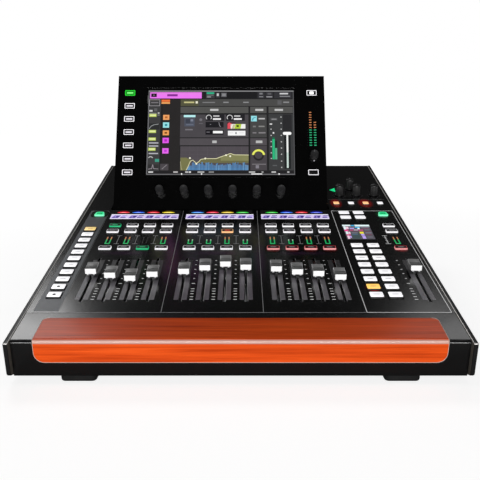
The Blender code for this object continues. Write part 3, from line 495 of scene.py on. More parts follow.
def boolean(obj, cutter, operation="DIFFERENCE"):
    """Cuts obj with cutter, applies the result and removes the cutter."""
    m = obj.modifiers.new("cut", "BOOLEAN")
    m.operation, m.solver, m.object = operation, "EXACT", cutter
    bpy.context.view_layer.update()
    dg = bpy.context.evaluated_depsgraph_get()
    new = bpy.data.meshes.new_from_object(obj.evaluated_get(dg))
    obj.modifiers.clear()
    old = obj.data
    obj.data = new
    bpy.data.meshes.remove(old)
    bpy.data.objects.remove(cutter)
    return obj


def raw(piece):
    """A loose object from a Piece, to cut with."""
    mesh = bpy.data.meshes.new(piece.name)
    piece.bm.transform(piece.place @ SCALE)
    bmesh.ops.recalc_face_normals(piece.bm, faces=piece.bm.faces)
    piece.bm.to_mesh(mesh)
    piece.bm.free()
    obj = bpy.data.objects.new(piece.name, mesh)
    bpy.context.scene.collection.objects.link(obj)
    for m in piece.mats:
        mesh.materials.append(m)
    return obj


def finish_raw(obj, body, replaces=(), smooth=35.0, bevel=0.0, angle=32):
    if bevel:
        b = obj.modifiers.new("edges", "BEVEL")
        b.width, b.segments, b.limit_method, b.angle_limit = bevel * MM, 2, "ANGLE", math.radians(angle)
    if smooth:
        obj.data.shade_smooth()
        obj.data.set_sharp_from_angle(angle=math.radians(smooth))
    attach(obj, body)
    if replaces:
        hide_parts(*replaces)
    return obj


def cad(node, mat, bevel=0.0, slot=None):
    """A CAD node kept as it is, in a better finish."""
    o = frame["nodes"][node]
    o.data.materials.clear()
    o.data.materials.append(MAT[mat])
    if bevel:
        w = o.modifiers.new("weld", "WELD")
        w.merge_threshold = 1e-6
        b = o.modifiers.new("edges", "BEVEL")
        b.width, b.segments, b.limit_method, b.angle_limit = bevel * MM, 2, "ANGLE", math.radians(35)
    return o


# ------------------------------------------------------------------ layout, in millimetres
HALF = 218.2
BANKS = (-133.5, -29.0, 75.5)
FADER_X = [[c + (i - 1.5) * 23.3 for i in range(4)] for c in BANKS]
MAIN_X = 199.5
REST = ((146.6, 136.5, 129.1, 139.1), (146.6, 156.3, 166.5, 157.9), (153.3, 145.5, 141.0, 131.9))
MAIN_REST = 155.5
SLOT = (79.9, 191.9)
ROWS = (299.4, 278.9, 222.8)
LEFT_X, LEFT_T = -199.0, [93.7 + 19.1 * k for k in range(11)]
RIGHT_X, RIGHT_T = (145.2, 165.4), [93.7 + 19.3 * k for k in range(8)]
PAIR_T = (328.3, 347.0)
MONITOR_X, MONITOR_T = (139.8, 161.3, 182.7, 203.7), 387.2
KNOBS = ((149.0, 425.0), (174.6, 425.0), (201.0, 425.0), (169.0, 455.0))
WELL_X = (-185.5, 127.5)
PRINT = 0.085

# ------------------------------------------------------------------ armrest and front rail


def arm_station(x, half, back_r, low_r, t0, t1, n0, n1, front_round, steps=9):
    """The armrest's section at x: its rear and lower edges draw in towards the ends."""
    def pull(radius):
        d = max(0.0, abs(x) - (half - radius))
        return radius - math.sqrt(max(0.0, radius * radius - d * d))

    back, low = t1 - pull(back_r), n0 + pull(low_r)
    pts = [(back, low), (back, n1)]
    if front_round > 0:
        for k in range(steps + 1):
            a = math.pi / 2 * k / steps
            pts.append((t0 + front_round - front_round * math.sin(a), n1 - front_round + front_round * math.cos(a)))
    else:
        pts.append((t0, n1))
    if front_round > 0:
        pts.append((t0, n1 - front_round - 0.9))
    pts.append((t0, low))
    return [(x, t, n) for t, n in pts]


def arm_loops(half, back_r, low_r, t0, t1, n0, n1, front_round):
    left = set()
    for radius in (back_r, low_r):
        left |= {round(-half + radius * (1 - math.cos(math.pi / 2 * k / 10)), 4) for k in range(11)}
    left = sorted(left)
    r = max(back_r, low_r)
    mid = [-half + r + (2 * half - 2 * r) * k / 12 for k in range(1, 12)]
    right = [-x for x in reversed(left)]
    return [arm_station(x, half, back_r, low_r, t0, t1, n0, n1, front_round) for x in left + mid + right]


ARM_T = 43.0
arm = Piece("armrest_wood", SURF, [MAT["wood"], MAT["woodband"]])
EDGE_R = 3.4
arm.loft(arm_loops(197.0, 6.0, 10.0, 0.0, ARM_T, -23.5, 1.0, EDGE_R))
bmesh.ops.recalc_face_normals(arm.bm, faces=arm.bm.faces)
arm.bm.normal_update()
# faces on the front rounding take the pale pinkish tone: a painted highlight along the edge
for f in arm.bm.faces:
    lean = math.degrees(math.atan2(f.normal.z, -f.normal.y))
    c = f.calc_center_median()
    if lean < 62 and abs(f.normal.x) < 0.3 and c.y < 6 and c.z > 1.0 - EDGE_R - 0.9:
        f.material_index = 1
arm_obj = raw(arm)
finish_raw(arm_obj, "chassis", ["armrest"], smooth=40, bevel=0.7, angle=38)

rail = Piece("front_rail_shell", SURF, [MAT["rail"]])
bottom_n = (6.6 - 44.7) / COS
profile = [(54.85, 0.0)]
for k in range(9):
    a = math.pi / 2 * k / 8
    profile.append((EDGE_R - EDGE_R * math.sin(a), -EDGE_R + EDGE_R * math.cos(a)))
profile += [(0.0, bottom_n + 1.2), (0.4, bottom_n + 0.3), (1.2, bottom_n), (3.6, bottom_n), (3.6, -27.0), (54.85, -27.0)]
xs = [-HALF, -HALF + 0.01] + [-180 + 60 * k for k in range(7)] + [HALF]
rail.loft([[(x, t, n) for t, n in reversed(profile)] for x in (-HALF, HALF)])
rail_obj = raw(rail)
cutter = Piece("rail_cut", SURF, [MAT["rail"]])
cutter.loft(arm_loops(197.35, 6.35, 10.35, -10.0, ARM_T + 0.35, -23.85, 20.0, 0.0))
boolean(rail_obj, raw(cutter))
finish_raw(rail_obj, "chassis", ["front_rail"], bevel=0.25)

# a pale, faintly glowing bead round the armrest's edge: a painted highlight where the edge catches light
edge_glint = Piece("armrest_edge_highlight_bead", SURF, [surface_mat("edge_painted_highlight", (0.46, 0.36, 0.31), (0.56, 0.44, 0.38), 0.28, 0.05, grain=2600, bump=0.02, emission=(1, 0.86, 0.76), glow=0.07)])


def highlight_bead(points, radius, n=8):
    """A thin round bead along points in 3-D."""
    loops = []
    for i, p in enumerate(points):
        a, b = Vector(points[max(i - 1, 0)]), Vector(points[min(i + 1, len(points) - 1)])
        d = (b - a).normalized()
        u = d.cross(Vector((0, 0.3, 1))).normalized()
        v = d.cross(u).normalized()
        loops.append([tuple(Vector(p) + u * radius * math.cos(2 * math.pi * k / n) + v * radius * math.sin(2 * math.pi * k / n)) for k in range(n)])
    rows = edge_glint.loft(loops)


def arm_edge(sign):
    pts = []
    back, low = 6.0, 10.0
    for k in range(9):
        a = math.pi / 2 * k / 8
        pts.append((sign * (197.0 - back + back * math.sin(a)), ARM_T - back + back * math.cos(a), 0.95))
    pts.append((sign * 197.0, 20.0, 0.95))
    for k in range(9):
        a = math.pi / 2 * k / 8
        pts.append((sign * 197.0, EDGE_R - EDGE_R * math.sin(a), 0.95 - EDGE_R + EDGE_R * math.cos(a)))
    for k in range(9):
        a = math.pi / 2 * k / 8
        pts.append((sign * (197.0 - low + low * math.cos(a)), 0.05, -23.5 + low - low * math.sin(a)))
    return pts


left_edge = arm_edge(-1)
highlight_bead(left_edge + list(reversed(arm_edge(1))), 0.26)
edge_glint.done("chassis", slot="wood_orange")

# ------------------------------------------------------------------ cheeks


NOSE, LOW_N = 6.4, -34.2


def side_profile(inset=0.0, steps=6):
    """The side outline in (y, z) from the front edge, drawn in by inset."""
    corners = [
        ((-NOSE * COS - SIN, 44.7 - NOSE * SIN + COS), 1.0),
        ((-NOSE * COS - LOW_N * SIN, 44.7 - NOSE * SIN + LOW_N * COS), 3.5),
        ((14.0, 6.6), 6.0),
        ((574.3, 6.6), 3.0),
        ((574.3, 44.7 + COS + (574.3 + SIN) * SIN / COS), 3.0),
    ]
    out, n = [], len(corners)
    for i, (p, r) in enumerate(corners):
        p = Vector(p)
        a = (Vector(corners[i - 1][0]) - p).normalized()
        c = (Vector(corners[(i + 1) % n][0]) - p).normalized()
        half = a.angle(c) / 2
        mid = (a + c).normalized()
        p = p + mid * (inset / math.sin(half))
        r = max(r - inset, 0.06)
        centre = p + mid * (r / math.sin(half))
        s, e = p + a * (r / math.tan(half)) - centre, p + c * (r / math.tan(half)) - centre
        sweep = math.atan2(s.x * e.y - s.y * e.x, s.dot(e))
        for k in range(steps + 1):
            t = sweep * k / steps
            q = centre + Vector((s.x * math.cos(t) - s.y * math.sin(t), s.x * math.sin(t) + s.y * math.cos(t)))
            out.append((q.x, q.y))
    return out


for side, sign in (("left", -1), ("right", 1)):
    p = Piece(f"{side}_cheek_shell", BASE, [MAT["cheek"], MAT["edge"], MAT["cheekin"]])
    loops = []
    for x, inset in ((218.5, 0.5), (218.95, 0.0), (221.7, 0.0), (222.45, 0.2), (222.85, 0.6), (223.0, 1.2)):
        loops.append([(sign * x, y, z) for y, z in side_profile(inset)])
    if sign > 0:
        loops = [list(reversed(lp)) for lp in loops]
    # the inner end cap takes the paler inner-side grey: painted light on the cheek's inner face
    p.loft(loops, seg_mats=(1, 0, 0, 0, 0), cap_mats=(2, 0))
    p.bm.normal_update()
    # the top of the inner chamfer and the front top corner keep the pale glowing finish: a painted highlight
    for f in p.bm.faces:
        c = f.calc_center_median()
        front_corner = c.y < -NOSE + 1.6 and c.z > 42.0 and abs(f.normal.x) < 0.3
        if f.material_index == 1 and c.z < 43.0 + max(c.y, 0) * 0.19:
            f.material_index = 0
        elif front_corner:
            f.material_index = 1
    p.done("chassis", [f"{side}_cheek"], "panel_black", smooth=40)

# ------------------------------------------------------------------ carried-over CAD nodes
cad("top_panel", "panel")
cad("rear_panel", "case", 0.2)
cad("base_tray", "case", 0.3)
cad("screen_well", "inner")
cad("main_board", "board")
cad("io_board", "plastic")
cad("power_inlet", "plastic", 0.2)
cad("power_supply", "steel", 0.4)
cad("fader_frame", "steel", 0.2)
cad("fan_frame", "plastic")
cad("fan_rotor", "plastic")
cad("power_switch", "rocker", 0.5)
cad("lid_back_cover", "lidcase", 0.5)
cad("lid_front_panel", "gloss", 0.25)
cad("lcd_module", "gloss", 0.15)
for s in ("left", "right"):
    cad(f"hinge_bracket_{s}", "steel", 0.3)
    cad(f"hinge_pin_{s}", "nickel", 0.3)

# ------------------------------------------------------------------ printed lines and strips on the surface
prints = Piece("panel_print_lines", SURF, [MAT["line"], MAT["line_mid"], MAT["line_dim"]])


def hline(x0, x1, t, w=0.5, mat=0, p=prints, z=PRINT):
    p.box(x0, x1, t - w / 2, t + w / 2, -0.2, z, mat)


def vline(x, t0, t1, w=0.5, mat=0, p=prints, z=PRINT):
    p.box(x - w / 2, x + w / 2, t0, t1, -0.2, z, mat)


hline(-HALF + 6, 128.1, 56.2, 0.45, 1)
for x in (-81.2, 23.3):
    vline(x, 56.6, 357.5, 0.6, 1)
prints.frame((128.5 + 215.3) / 2, (56.0 + 357.8) / 2, 215.3 - 128.5, 357.8 - 56.0, -0.2, PRINT, 0.7, 0.6, 0)
vline(-185.6, 56.6, 357.5, 0.3, 2)
prints.done("chassis", slot="panel_black", smooth=0)

strip = Piece("left_strip_panel", SURF, [MAT["strip"]])
strip.slab(-199.25, 208.5, 25.5, 299.0, -0.3, 0.12, 0.6, 0.05)
strip_obj = raw(strip)
cut = Piece("strip_cut", SURF, [MAT["strip"]])
for t in LEFT_T:
    cut.box(LEFT_X - 8.2, LEFT_X + 8.2, t - 6.8, t + 6.8, -2, 2)
cut.box(-197.5 - 7.4, -197.5 + 7.4, 342.5 - 7.15, 342.5 + 7.15, -2, 2)
boolean(strip_obj, raw(cut))
finish_raw(strip_obj, "chassis", smooth=0)

# ------------------------------------------------------------------ soft light spilled on the panel round the lit pieces
HALO = {k: halo_mat(f"spill_{k}", h, g, 0.85) for k, (h, g) in {
    "keyred": ("#FF0C06", 0.75), "keygreen": ("#08B050", 0.16),
    "rowred": ("#FF0810", 0.14), "violet": ("#7A1880", 0.035)}.items()}
for k, (h, g) in {
        "red": ("#E80020", 0.62), "blue": ("#0428E0", 0.50), "yellow": ("#D8BC00", 0.48), "lightblue": ("#0840D8", 0.50), "pink": ("#E80028", 0.62),
        "amber": ("#D8B400", 0.48), "green": ("#00B010", 0.42), "deepblue": ("#1018D0", 0.50)}.items():
    HALO[k] = halo_mat(f"spill_{k}", h, g, 0.7, 0.14)
HALO["monred"] = halo_mat("spill_monred", "#FF0404", 0.26, 0.9, -0.10)
OPENINGS = [(LEFT_X, t, 16.4, 13.6) for t in LEFT_T] + [(-197.5, 342.5, 14.8, 14.3), (199.5, 343.0, 14.8, 14.3)]
OPENINGS += [(x, t, 16.4, 13.6) for x in RIGHT_X for t in (*RIGHT_T, *PAIR_T)]
OPENINGS += [(x, t, 16.0, 9.1) for x in (*FADER_X[0], *FADER_X[1], *FADER_X[2], 199.0) for t in ROWS]
OPENINGS += [(x, MONITOR_T, 10.2, 12.2) for x in MONITOR_X]
spills = 0


def spill(kind, x, t, w, l, z=0.05):
    """A thin plate on the panel carrying a painted pool of spilled light, with the openings of the keys cut out of it.
    """
    global spills
    spills += 1
    p = Piece(f"panel_spill_{spills:02d}", SURF, [HALO[kind]])
    p.slab(x, t, w, l, -0.2, z, min(w, l) * 0.3, 0.0, 0, n=3)
    obj = raw(p)
    for ox, ot, ow, ol in OPENINGS:
        if abs(ox - x) < (ow + w) / 2 and abs(ot - t) < (ol + l) / 2:
            hole = Piece("spill_cut", SURF, [HALO[kind]])
            hole.box(ox - ow / 2, ox + ow / 2, ot - ol / 2, ot + ol / 2, -2, 2)
            boolean(obj, raw(hole))
    finish_raw(obj, "chassis", smooth=0)


# ------------------------------------------------------------------ fader tracks, scales
tracks = Piece("fader_tracks", SURF, [MAT["track"], MAT["track2"], MAT["trackdim"], MAT["trackwarm"]])
def track_pair(x, rest, line, tone=0):
    cut = rest - 8.0
    for s in (-1, 1):
        cx = x + s * 4.45
        tracks.slab(cx, (84.6 + cut) / 2, 5.1, cut - 84.6, -0.2, 0.14, 0.25, 0.06, tone, n=1)
        # from just ahead of the cap to the slot's rear the strip takes the darker copy: painted shade of the cap
        tracks.slab(cx, (cut + 186.6) / 2, 5.1, 186.6 - cut - 0.2, -0.2, 0.14, 0.25, 0.06, 2, n=1)
    # the pale line along the slot's edge is a painted highlight
    tracks.box(x + line * 1.72 - 0.22, x + line * 1.72 + 0.22, 80.6, 191.0, 0.05, 0.20, 1)


# the middle bank's tracks ahead of the caps take the violet copy: painted violet light
for bank, (xs, rests) in enumerate(zip(FADER_X, REST)):
    for x, rest in zip(xs, rests):
        track_pair(x, rest, 1, 3 if bank == 1 else 0)
track_pair(MAIN_X, MAIN_REST, -1)
tracks.done("chassis", slot="panel_black", smooth=0)

ticks = Piece("fader_scale_marks", SURF, [MAT["tick"]])
TICK_T = (185.2, 173.2, 160.3, 148.8, 136.0, 123.3, 110.3, 104.4, 98.2, 91.3, 85.1)


def scale(x):
    for i, t in enumerate(TICK_T):
        w = 2.0 if i < 5 else 3.6
        ticks.box(x - w / 2, x + w / 2, t - 0.45, t + 0.45, -0.2, PRINT)


for xs in FADER_X:
    for a, b in zip(xs, xs[1:]):
        scale((a + b) / 2)
scale(MAIN_X - 13.5)
ticks.done("chassis", slot="panel_black", smooth=0)

# slot linings, a thin raised lip each side of every slot
lips = Piece("fader_slot_lips", SURF, [MAT["plastic"]])
for x in [x for xs in FADER_X for x in xs] + [MAIN_X]:
    lips.frame(x, (SLOT[0] + SLOT[1]) / 2, 3.4, 112.6, -0.3, 0.12, 0.3, 0.9)
lips.done("chassis", slot="socket_black")

# ------------------------------------------------------------------ fader caps


def fader_cap(name, body, node, x, t):
    p = Piece(name, SURF, [MAT["capgrey"], MAT["capwhite"], MAT["capdark"], MAT["stem"], MAT["capedge"]])
    # section along the travel: (t, n), from the front's foot round over the top
    front, back = t - 10.0, t + 10.0
    sec = [(front, 5.3), (front, 11.1)]
    for k in range(1, 4):
        a = math.pi / 2 * k / 3
        sec.append((front + 0.7 - 0.7 * math.cos(a), 11.1 + 0.7 * math.sin(a)))
    for k in range(1, 12):
        s = k / 12
        sec.append((front + 0.9 + s * 17.0, 11.8 - 1.35 * math.sin(math.pi * s) ** 1.1))
    sec.append((back - 2.0, 11.9))
    sec.append((back - 1.5, 11.6))
    sec.append((back - 0.1, 5.6))
    sec.append((back - 0.4, 4.9))
    cy, cz = t, 8.4

    def shrink(k):
        return [(cy + (a - cy) * (1 - k / 10.0), cz + (b - cz) * (1 - k / 3.6)) for a, b in sec]

    w = 6.5
    loops = []
    for xx, k in ((-w, 0.45), (-w + 0.5, 0.0), (w - 0.5, 0.0), (w, 0.45)):
        loops.append([(x + xx, a, b) for a, b in shrink(k)])
    p.loft(loops, 0)
    bmesh.ops.recalc_face_normals(p.bm, faces=p.bm.faces)
    p.bm.normal_update()
    for f in p.bm.faces:
        c = f.calc_center_median()
        # front faces take the near white with its painted glow
        if f.normal.y < -0.75 and c.y < front + 0.6:
            f.material_index = 1
        # downward faces take the dark grey: painted shade under the cap
        elif f.normal.z < -0.5:
            f.material_index = 2
        # rounded side edges and the rear top edge take the paler grey: a painted highlight
        elif 0.25 < abs(f.normal.x) < 0.97 and c.z > 9.0:
            f.material_index = 4
        elif c.y > back - 2.1 and c.z > 11.0:
            f.material_index = 4
    # neck that narrows towards the panel, and the blade down through the slot
    loops = []
    for z, hw, hl in ((1.4, 2.1, 5.6), (1.7, 2.35, 6.0), (4.6, 3.9, 8.6), (5.3, 4.3, 9.4)):
        loops.append([(px, py, z) for px, py in rrect(x, t, 2 * hw, 2 * hl, 0.8, 2)])
    rows = p.loft(loops, 2)
    p.slab(x, t, 1.7, 9.6, -15.5, 1.6, 0.3, 0.0, 3, n=1)
    # two small pale bars under the cap's front: painted highlights
    for s in (-1, 1):
        p.poly([(x + s * 2.5, t - 9.62), (x + s * 4.5, t - 9.62), (x + s * 4.5, t - 9.0), (x + s * 2.5, t - 9.0)], 3.9, 5.34, 4)
    # centre line across the top, lying in the dish
    p.box(x - 5.6, x + 5.6, t - 0.35, t + 0.35, 10.1, 10.72, 2)
    p.done(body, [node], "cap_grey", smooth=30)


n = 0
for xs, rests in zip(FADER_X, REST):
    for x, rest in zip(xs, rests):
        n += 1
        fader_cap(f"fader_cap_shell_{n:02d}", f"fader_{n:02d}", f"fader_cap_{n:02d}", x, rest)
fader_cap("fader_cap_shell_main", "fader_main", "fader_cap_main", MAIN_X, MAIN_REST)

# ------------------------------------------------------------------ keys
KEY_TOP = 1.8


def outlined_key(p, x, t, w, l, top, frame_mat, label_mat, black_mat, label_w=0.5, low=-4.2, label=True, side_mat=None, line=0.42, dark=0.5, tall=1.7):
    """A lit body under a black cap, with a thin lit line round the cap's top and a lit legend bar."""
    p.slab(x, t, w, l, low, top - dark, 1.0, 0.0, frame_mat if side_mat is None else side_mat)
    p.slab(x, t + 0.05, w - 0.5, l - 0.4, top - dark - 0.05, top - 0.04, 0.9, 0.1, black_mat)
    p.frame(x, t + 0.05, w - 0.6, l - 0.5, top - 0.3, top, line, 0.8, frame_mat)
    if label:
        p.slab(x, t, (w - 1.4) * label_w, tall, top - 0.2, top - 0.01, 0.3, 0.0, label_mat, n=1)


def bank_keypad(index):
    mats = [GLOW["frame"], MAT["keyblack"], GLOW["label"], GLOW["greenframe"], GLOW["redframe"], GLOW["orange"], GLOW["red"], MAT["keyside"], GLOW["redlight"]]
    p = Piece(f"keys_bank_{index + 1}_caps", SURF, mats)
    for i, x in enumerate(FADER_X[index]):
        for r, t in enumerate(ROWS):
            fm, lm, side = 0, 2, 0
            if index == 0 and ((r == 0 and i == 0) or (r == 2 and i == 2)):
                fm, lm, side = 3, 3, 3
            if index == 1 and r == 1 and i == 2:
                fm, lm, side = 5, 6, 5
            if index == 2 and r == 2:
                fm, lm, side = 4, 2, 8
            outlined_key(p, x, t, 15.2, 8.3, KEY_TOP, fm, lm, 1, side_mat=side, line=0.27)
    xs = FADER_X[index]
    p.box(xs[0] - 9, xs[-1] + 9, ROWS[2] - 5.5, ROWS[0] + 5.5, -5.2, -3.7, 7)
    p.done(f"keys_bank_{index + 1}", [f"keypad_bank_{index + 1}"], "key_white")


for i in range(3):
    bank_keypad(i)

main_keys = Piece("keys_main_caps", SURF, [GLOW["frame"], MAT["keyblack"], GLOW["label"], GLOW["redframe"], GLOW["green"], MAT["keyside"], GLOW["leafrim"], GLOW["redlight"]])
for r, t in enumerate(ROWS):
    outlined_key(main_keys, 199.0, t, 15.2, 8.3, KEY_TOP, 3 if r == 2 else 0, 2, 1, side_mat=7 if r == 2 else 0, line=0.27)


def leaf_key(p, cx, ct, w, l, mat, rim, mark, dark):
    """A rounded key, a little narrower at its rear edge, with a brighter rim and a dark legend."""
    def outline(inset, z):
        pts = []
        for x, y in rrect(cx, ct, w - 2 * inset, l - 2 * inset, max(3.4 - inset, 0.6), 5):
            k = 1 - 0.24 * (y - (ct - l / 2)) / l
            pts.append((cx + (x - cx) * k, y, z))
        return pts

    p.loft([outline(0.0, -4.2), outline(0.0, KEY_TOP - 0.4), outline(0.2, KEY_TOP - 0.12), outline(0.6, KEY_TOP - 0.08)], rim)
    p.loft([outline(1.0, KEY_TOP - 0.5), outline(1.0, KEY_TOP - 0.06), outline(1.2, KEY_TOP)], mat)
    p.slab(cx, ct + 0.3, w * 0.5, 3.2, KEY_TOP - 0.3, KEY_TOP + 0.02, 0.5, 0.0, mark, n=1)
    p.box(cx - w * 0.17, cx + w * 0.17, ct, ct + 0.8, KEY_TOP - 0.3, KEY_TOP + 0.04, dark)


leaf_key(main_keys, 199.5, 343.0, 14.0, 13.5, 4, 6, 1, 4)
main_keys.box(190, 208.5, ROWS[2] - 5.5, 350.0, -5.2, -3.7, 5)
main_keys.done("keys_main", ["keypad_main"], "key_white")


def white_key(p, x, t, w, l, top, face, side, mark, marks=True, dot=None):
    """A key with a dark body and a lit white top set in it."""
    p.slab(x, t, w, l, -4.2, top - 0.34, 1.4, 0.25, side)
    p.slab(x, t + 0.1, w - 1.3, l - 1.5, top - 0.8, top, 1.2, 0.22, face)
    if dot is not None:
        p.lathe(x, t - 0.4, [(1.9, top - 0.3), (1.9, top + 0.03)], 16, dot)
    elif marks:
        p.slab(x, t + 0.2, w * 0.42, 1.1, top - 0.2, top + 0.03, 0.3, 0.0, mark, n=1)


left_keys = Piece("keys_left_caps", SURF, [GLOW["keytop"], MAT["keyside"], GLOW["labeldim"], GLOW["yellow"], GLOW["green"], MAT["keyblack"], GLOW["leafrim"]])
for k, t in enumerate(LEFT_T):
    white_key(left_keys, LEFT_X, t, 15.6, 12.8, KEY_TOP, 3 if k == 10 else 0, 1, 2, marks=k > 1, dot=5 if k < 2 else None)
leaf_key(left_keys, -197.5, 342.5, 14.0, 13.5, 4, 6, 5, 4)
left_keys.box(-207.5, -190.0, 86.0, 350.0, -5.2, -3.7, 1)
left_keys.done("keys_left", ["keypad_left"], "key_white")

right_keys = Piece("keys_right_caps", SURF, [GLOW["keytop"], MAT["keyside"], GLOW["labeldim"], GLOW["amber"], MAT["keyblack"]])
for c, x in enumerate(RIGHT_X):
    for k, t in enumerate(RIGHT_T):
        white_key(right_keys, x, t, 15.6, 12.8, KEY_TOP, 3 if (c == 0 and k == 1) else 0, 1, 2)
    for t in PAIR_T:
        white_key(right_keys, x, t, 15.6, 12.8, KEY_TOP, 0, 1, 2, marks=False)
right_keys.box(137.0, 173.5, 86.0, 354.0, -5.2, -3.7, 1)
right_keys.done("keys_right", ["keypad_right"], "key_white")

monitor_keys = Piece("keys_monitor_caps", SURF, [GLOW["keytop"], GLOW["orange"], MAT["keyside"], GLOW["labeldim"]])
for i, x in enumerate(MONITOR_X):
    white_key(monitor_keys, x, MONITOR_T, 9.4, 11.4, KEY_TOP, 1 if i in (0, 2) else 0, 2, 3, marks=False)
monitor_keys.box(134.8, 208.5, 382.5, 392.5, -5.2, -3.7, 2)
monitor_keys.done("keys_monitor", ["keypad_monitor"], "key_white")

# ------------------------------------------------------------------ channel displays, light bars, meters
LED = {
    "red": "#FF1E32", "blue": "#1E7BFF", "yellow": "#FFE81E", "lightblue": "#3AA8FF", "pink": "#FF2850",
    "amber": "#FFE03A", "green": "#1EE03C", "deepblue": "#2A50E8",
}
led_mats = {k: led_mat(f"led_{k}", v, 1.35) for k, v in LED.items()}
bars = (("red", "blue", "red", "yellow"), ("lightblue", "pink", "amber", "green"), ("green", "blue", "red", "deepblue"))
for b, (centre, row) in enumerate(zip(BANKS, bars)):
    for i, colour in enumerate(row):
        p = Piece(f"light_bar_{b + 1}_{i + 1}", SURF, [led_mats[colour]])
        p.slab(centre + (i - 1.5) * 21.1, 350.0, 17.9, 1.5, -0.3, 0.35, 0.7, 0.12, 0)
        p.done("chassis", slot="key_white")
        spill(colour, centre + (i - 1.5) * 21.1, 351.0, 21.0, 12.2)

for i in (0, 2):
    spill("monred", MONITOR_X[i], 395.0, 22.2 if i == 0 else 28.4, 50.0)
spill("keygreen", -197.5, 344.0, 24.0, 26.0, 0.16)
spill("keygreen", 199.5, 344.0, 24.0, 26.0)
spill("keyred", RIGHT_X[0], RIGHT_T[1], 19.5, 22.0)
for x in FADER_X[2]:
    spill("rowred", x, ROWS[2] - 3.0, 22.0, 22.0)
spill("rowred", 199.0, ROWS[2] - 3.0, 20.0, 22.0)
# the violet plates are painted light: a faint violet glow laid on the panel in long strips and bands
spill("violet", -81.2, 200.0, 19.6, 190.0)
spill("violet", 23.3, 190.0, 19.6, 150.0)
for centre in (-140.0, -29.0, 75.5):
    spill("violet", centre, 207.5, 84.0, 18.0)

random.seed(11)
show = Piece("channel_displays", SURF, [MAT["gloss"], GLOW["strip"], GLOW["stripdark"], GLOW["stripmid"], GLOW["stripwhite"]])
for centre in BANKS:
    show.slab(centre, 333.4, 96.4, 20.6, -0.3, 0.30, 0.8, 0.15, 0)
    show.slab(centre, 333.4, 94.0, 18.2, 0.1, 0.36, 0.3, 0.0, 1, n=1)
    show.box(centre - 47.0, centre + 47.0, 339.6, 342.4, 0.2, 0.375, 4)
    show.box(centre - 47.0, centre + 47.0, 324.4, 326.4, 0.2, 0.375, 4)
    for i in range(4):
        c = centre + (i - 1.5) * 23.5
        w = 8.4 + 2.2 * random.random()
        lean = 2.0 + 2.5 * random.random()
        # a slanted block as an icon, a darker block beside it, and bars that stand for a name
        show.poly([(c - 10.6, 326.8), (c - 10.6 + w, 326.8), (c - 10.6 + w + lean, 338.6), (c - 10.6 + lean, 338.6)], 0.2, 0.39, 3)
        show.poly([(c - 9.6, 328.4), (c - 10.8 + w, 328.4), (c - 11.4 + w + lean, 336.6), (c - 9.2 + lean, 336.6)], 0.2, 0.42, 2)
        show.box(c - 6.2, c - 4.0, 329.2 + random.random(), 335.0, 0.2, 0.45, 3)
        u = c + 1.6 + random.random()
        show.box(u, u + 8.2 - 1.6 * random.random(), 328.2, 331.4, 0.2, 0.42, 2)
        show.box(u + 0.6, u + 6.4, 332.6, 334.4, 0.2, 0.42, 3)
        show.box(u + 1.2 + random.random(), u + 8.8, 335.2, 338.0, 0.2, 0.42, 2 if random.random() > 0.5 else 3)
show.done("chassis", slot="gloss_black", smooth=0)

meters = Piece("level_meters", SURF, [GLOW["meter"], GLOW["meterhot"], MAT["line_mid"], GLOW["meterdim"], MAT["line"], glow_mat("light_meter_tip", "#B4D6B8", 0.55)])


def meter(x, tall, lit=True):
    top = 258.4 if tall else 250.2
    for s in (-1, 1):
        tt = 238.6
        while tt < (top if lit else 258.0):
            hot = tt > 249.5 and tall
            shade = (1 if hot else 5 if tt > 245.5 and not tall else 0) if lit else 3
            meters.box(x + s * 2.5 - 0.7, x + s * 2.5 + 0.7, tt, tt + 1.85, -0.2, 0.25, shade)
            tt += 2.05
    if lit:
        meters.box(x - 3.2, x + 3.2, 236.6, 238.4, -0.2, 0.25, 0)


TALL = (((1, 1), (1, 1), (0, 0), (1, 1)), ((0, 1), (0, 1), (1, 1), (0, 1)), ((1, 1), (0, 1), (1, 1), (1, 1)))
for xs, row in zip(FADER_X, TALL):
    for x, (tall, lit) in zip(xs, row):
        meter(x, tall, bool(lit))
    for a, b in zip(xs, xs[1:]):
        m = (a + b) / 2
        meters.box(m - 3.3, m + 3.3, 263.2, 264.0, -0.2, PRINT, 2)
        meters.box(m - 3.3, m + 3.3, 236.6, 237.4, -0.2, PRINT, 2)
        meters.box(m - 0.35, m + 0.35, 237.4, 263.2, -0.2, PRINT, 2)
meter(199.0, 1)
m = 199.0 - 12.6
for tt in (263.6, 258.2, 252.9, 247.6, 242.3, 237.0):
    w = 3.3 if tt in (263.6, 237.0) else 1.5
    meters.box(m - w, m + w, tt - 0.35, tt + 0.35, -0.2, PRINT, 4)
meters.box(m - 0.3, m + 0.3, 237.4, 263.2, -0.2, PRINT, 4)
meters.done("chassis", slot="panel_black", smooth=0)

# ------------------------------------------------------------------ small colour display on the right
small_mats = [MAT["gloss"]] + [screen_mat(f"mini_{i}", h, s) for i, (h, s) in enumerate((
    ("#5C5A62", 0.9), ("#E6F8FB", 1.0), ("#EC4C92", 1.0), ("#F8D4E6", 1.0), ("#38B4E8", 1.0), ("#F2E23C", 1.0), ("#BFA6F4", 1.0), ("#465659", 0.9), ("#8E4A66", 0.8), ("#5C7C9C", 0.8), ("#9490A4", 0.8)))]
mini = Piece("side_display", SURF, small_mats)
mini.slab(154.6, 276.5, 38.6, 53.4, -0.3, 0.30, 0.8, 0.15, 0)
x0, x1, y0, y1 = 136.5, 172.7, 251.0, 302.0


def mrect(u0, v0, u1, v1, mat, level=1):
    mini.box(x0 + u0 * (x1 - x0), x0 + u1 * (x1 - x0), y1 - v1 * (y1 - y0), y1 - v0 * (y1 - y0), 0.1, 0.32 + 0.03 * level, mat)


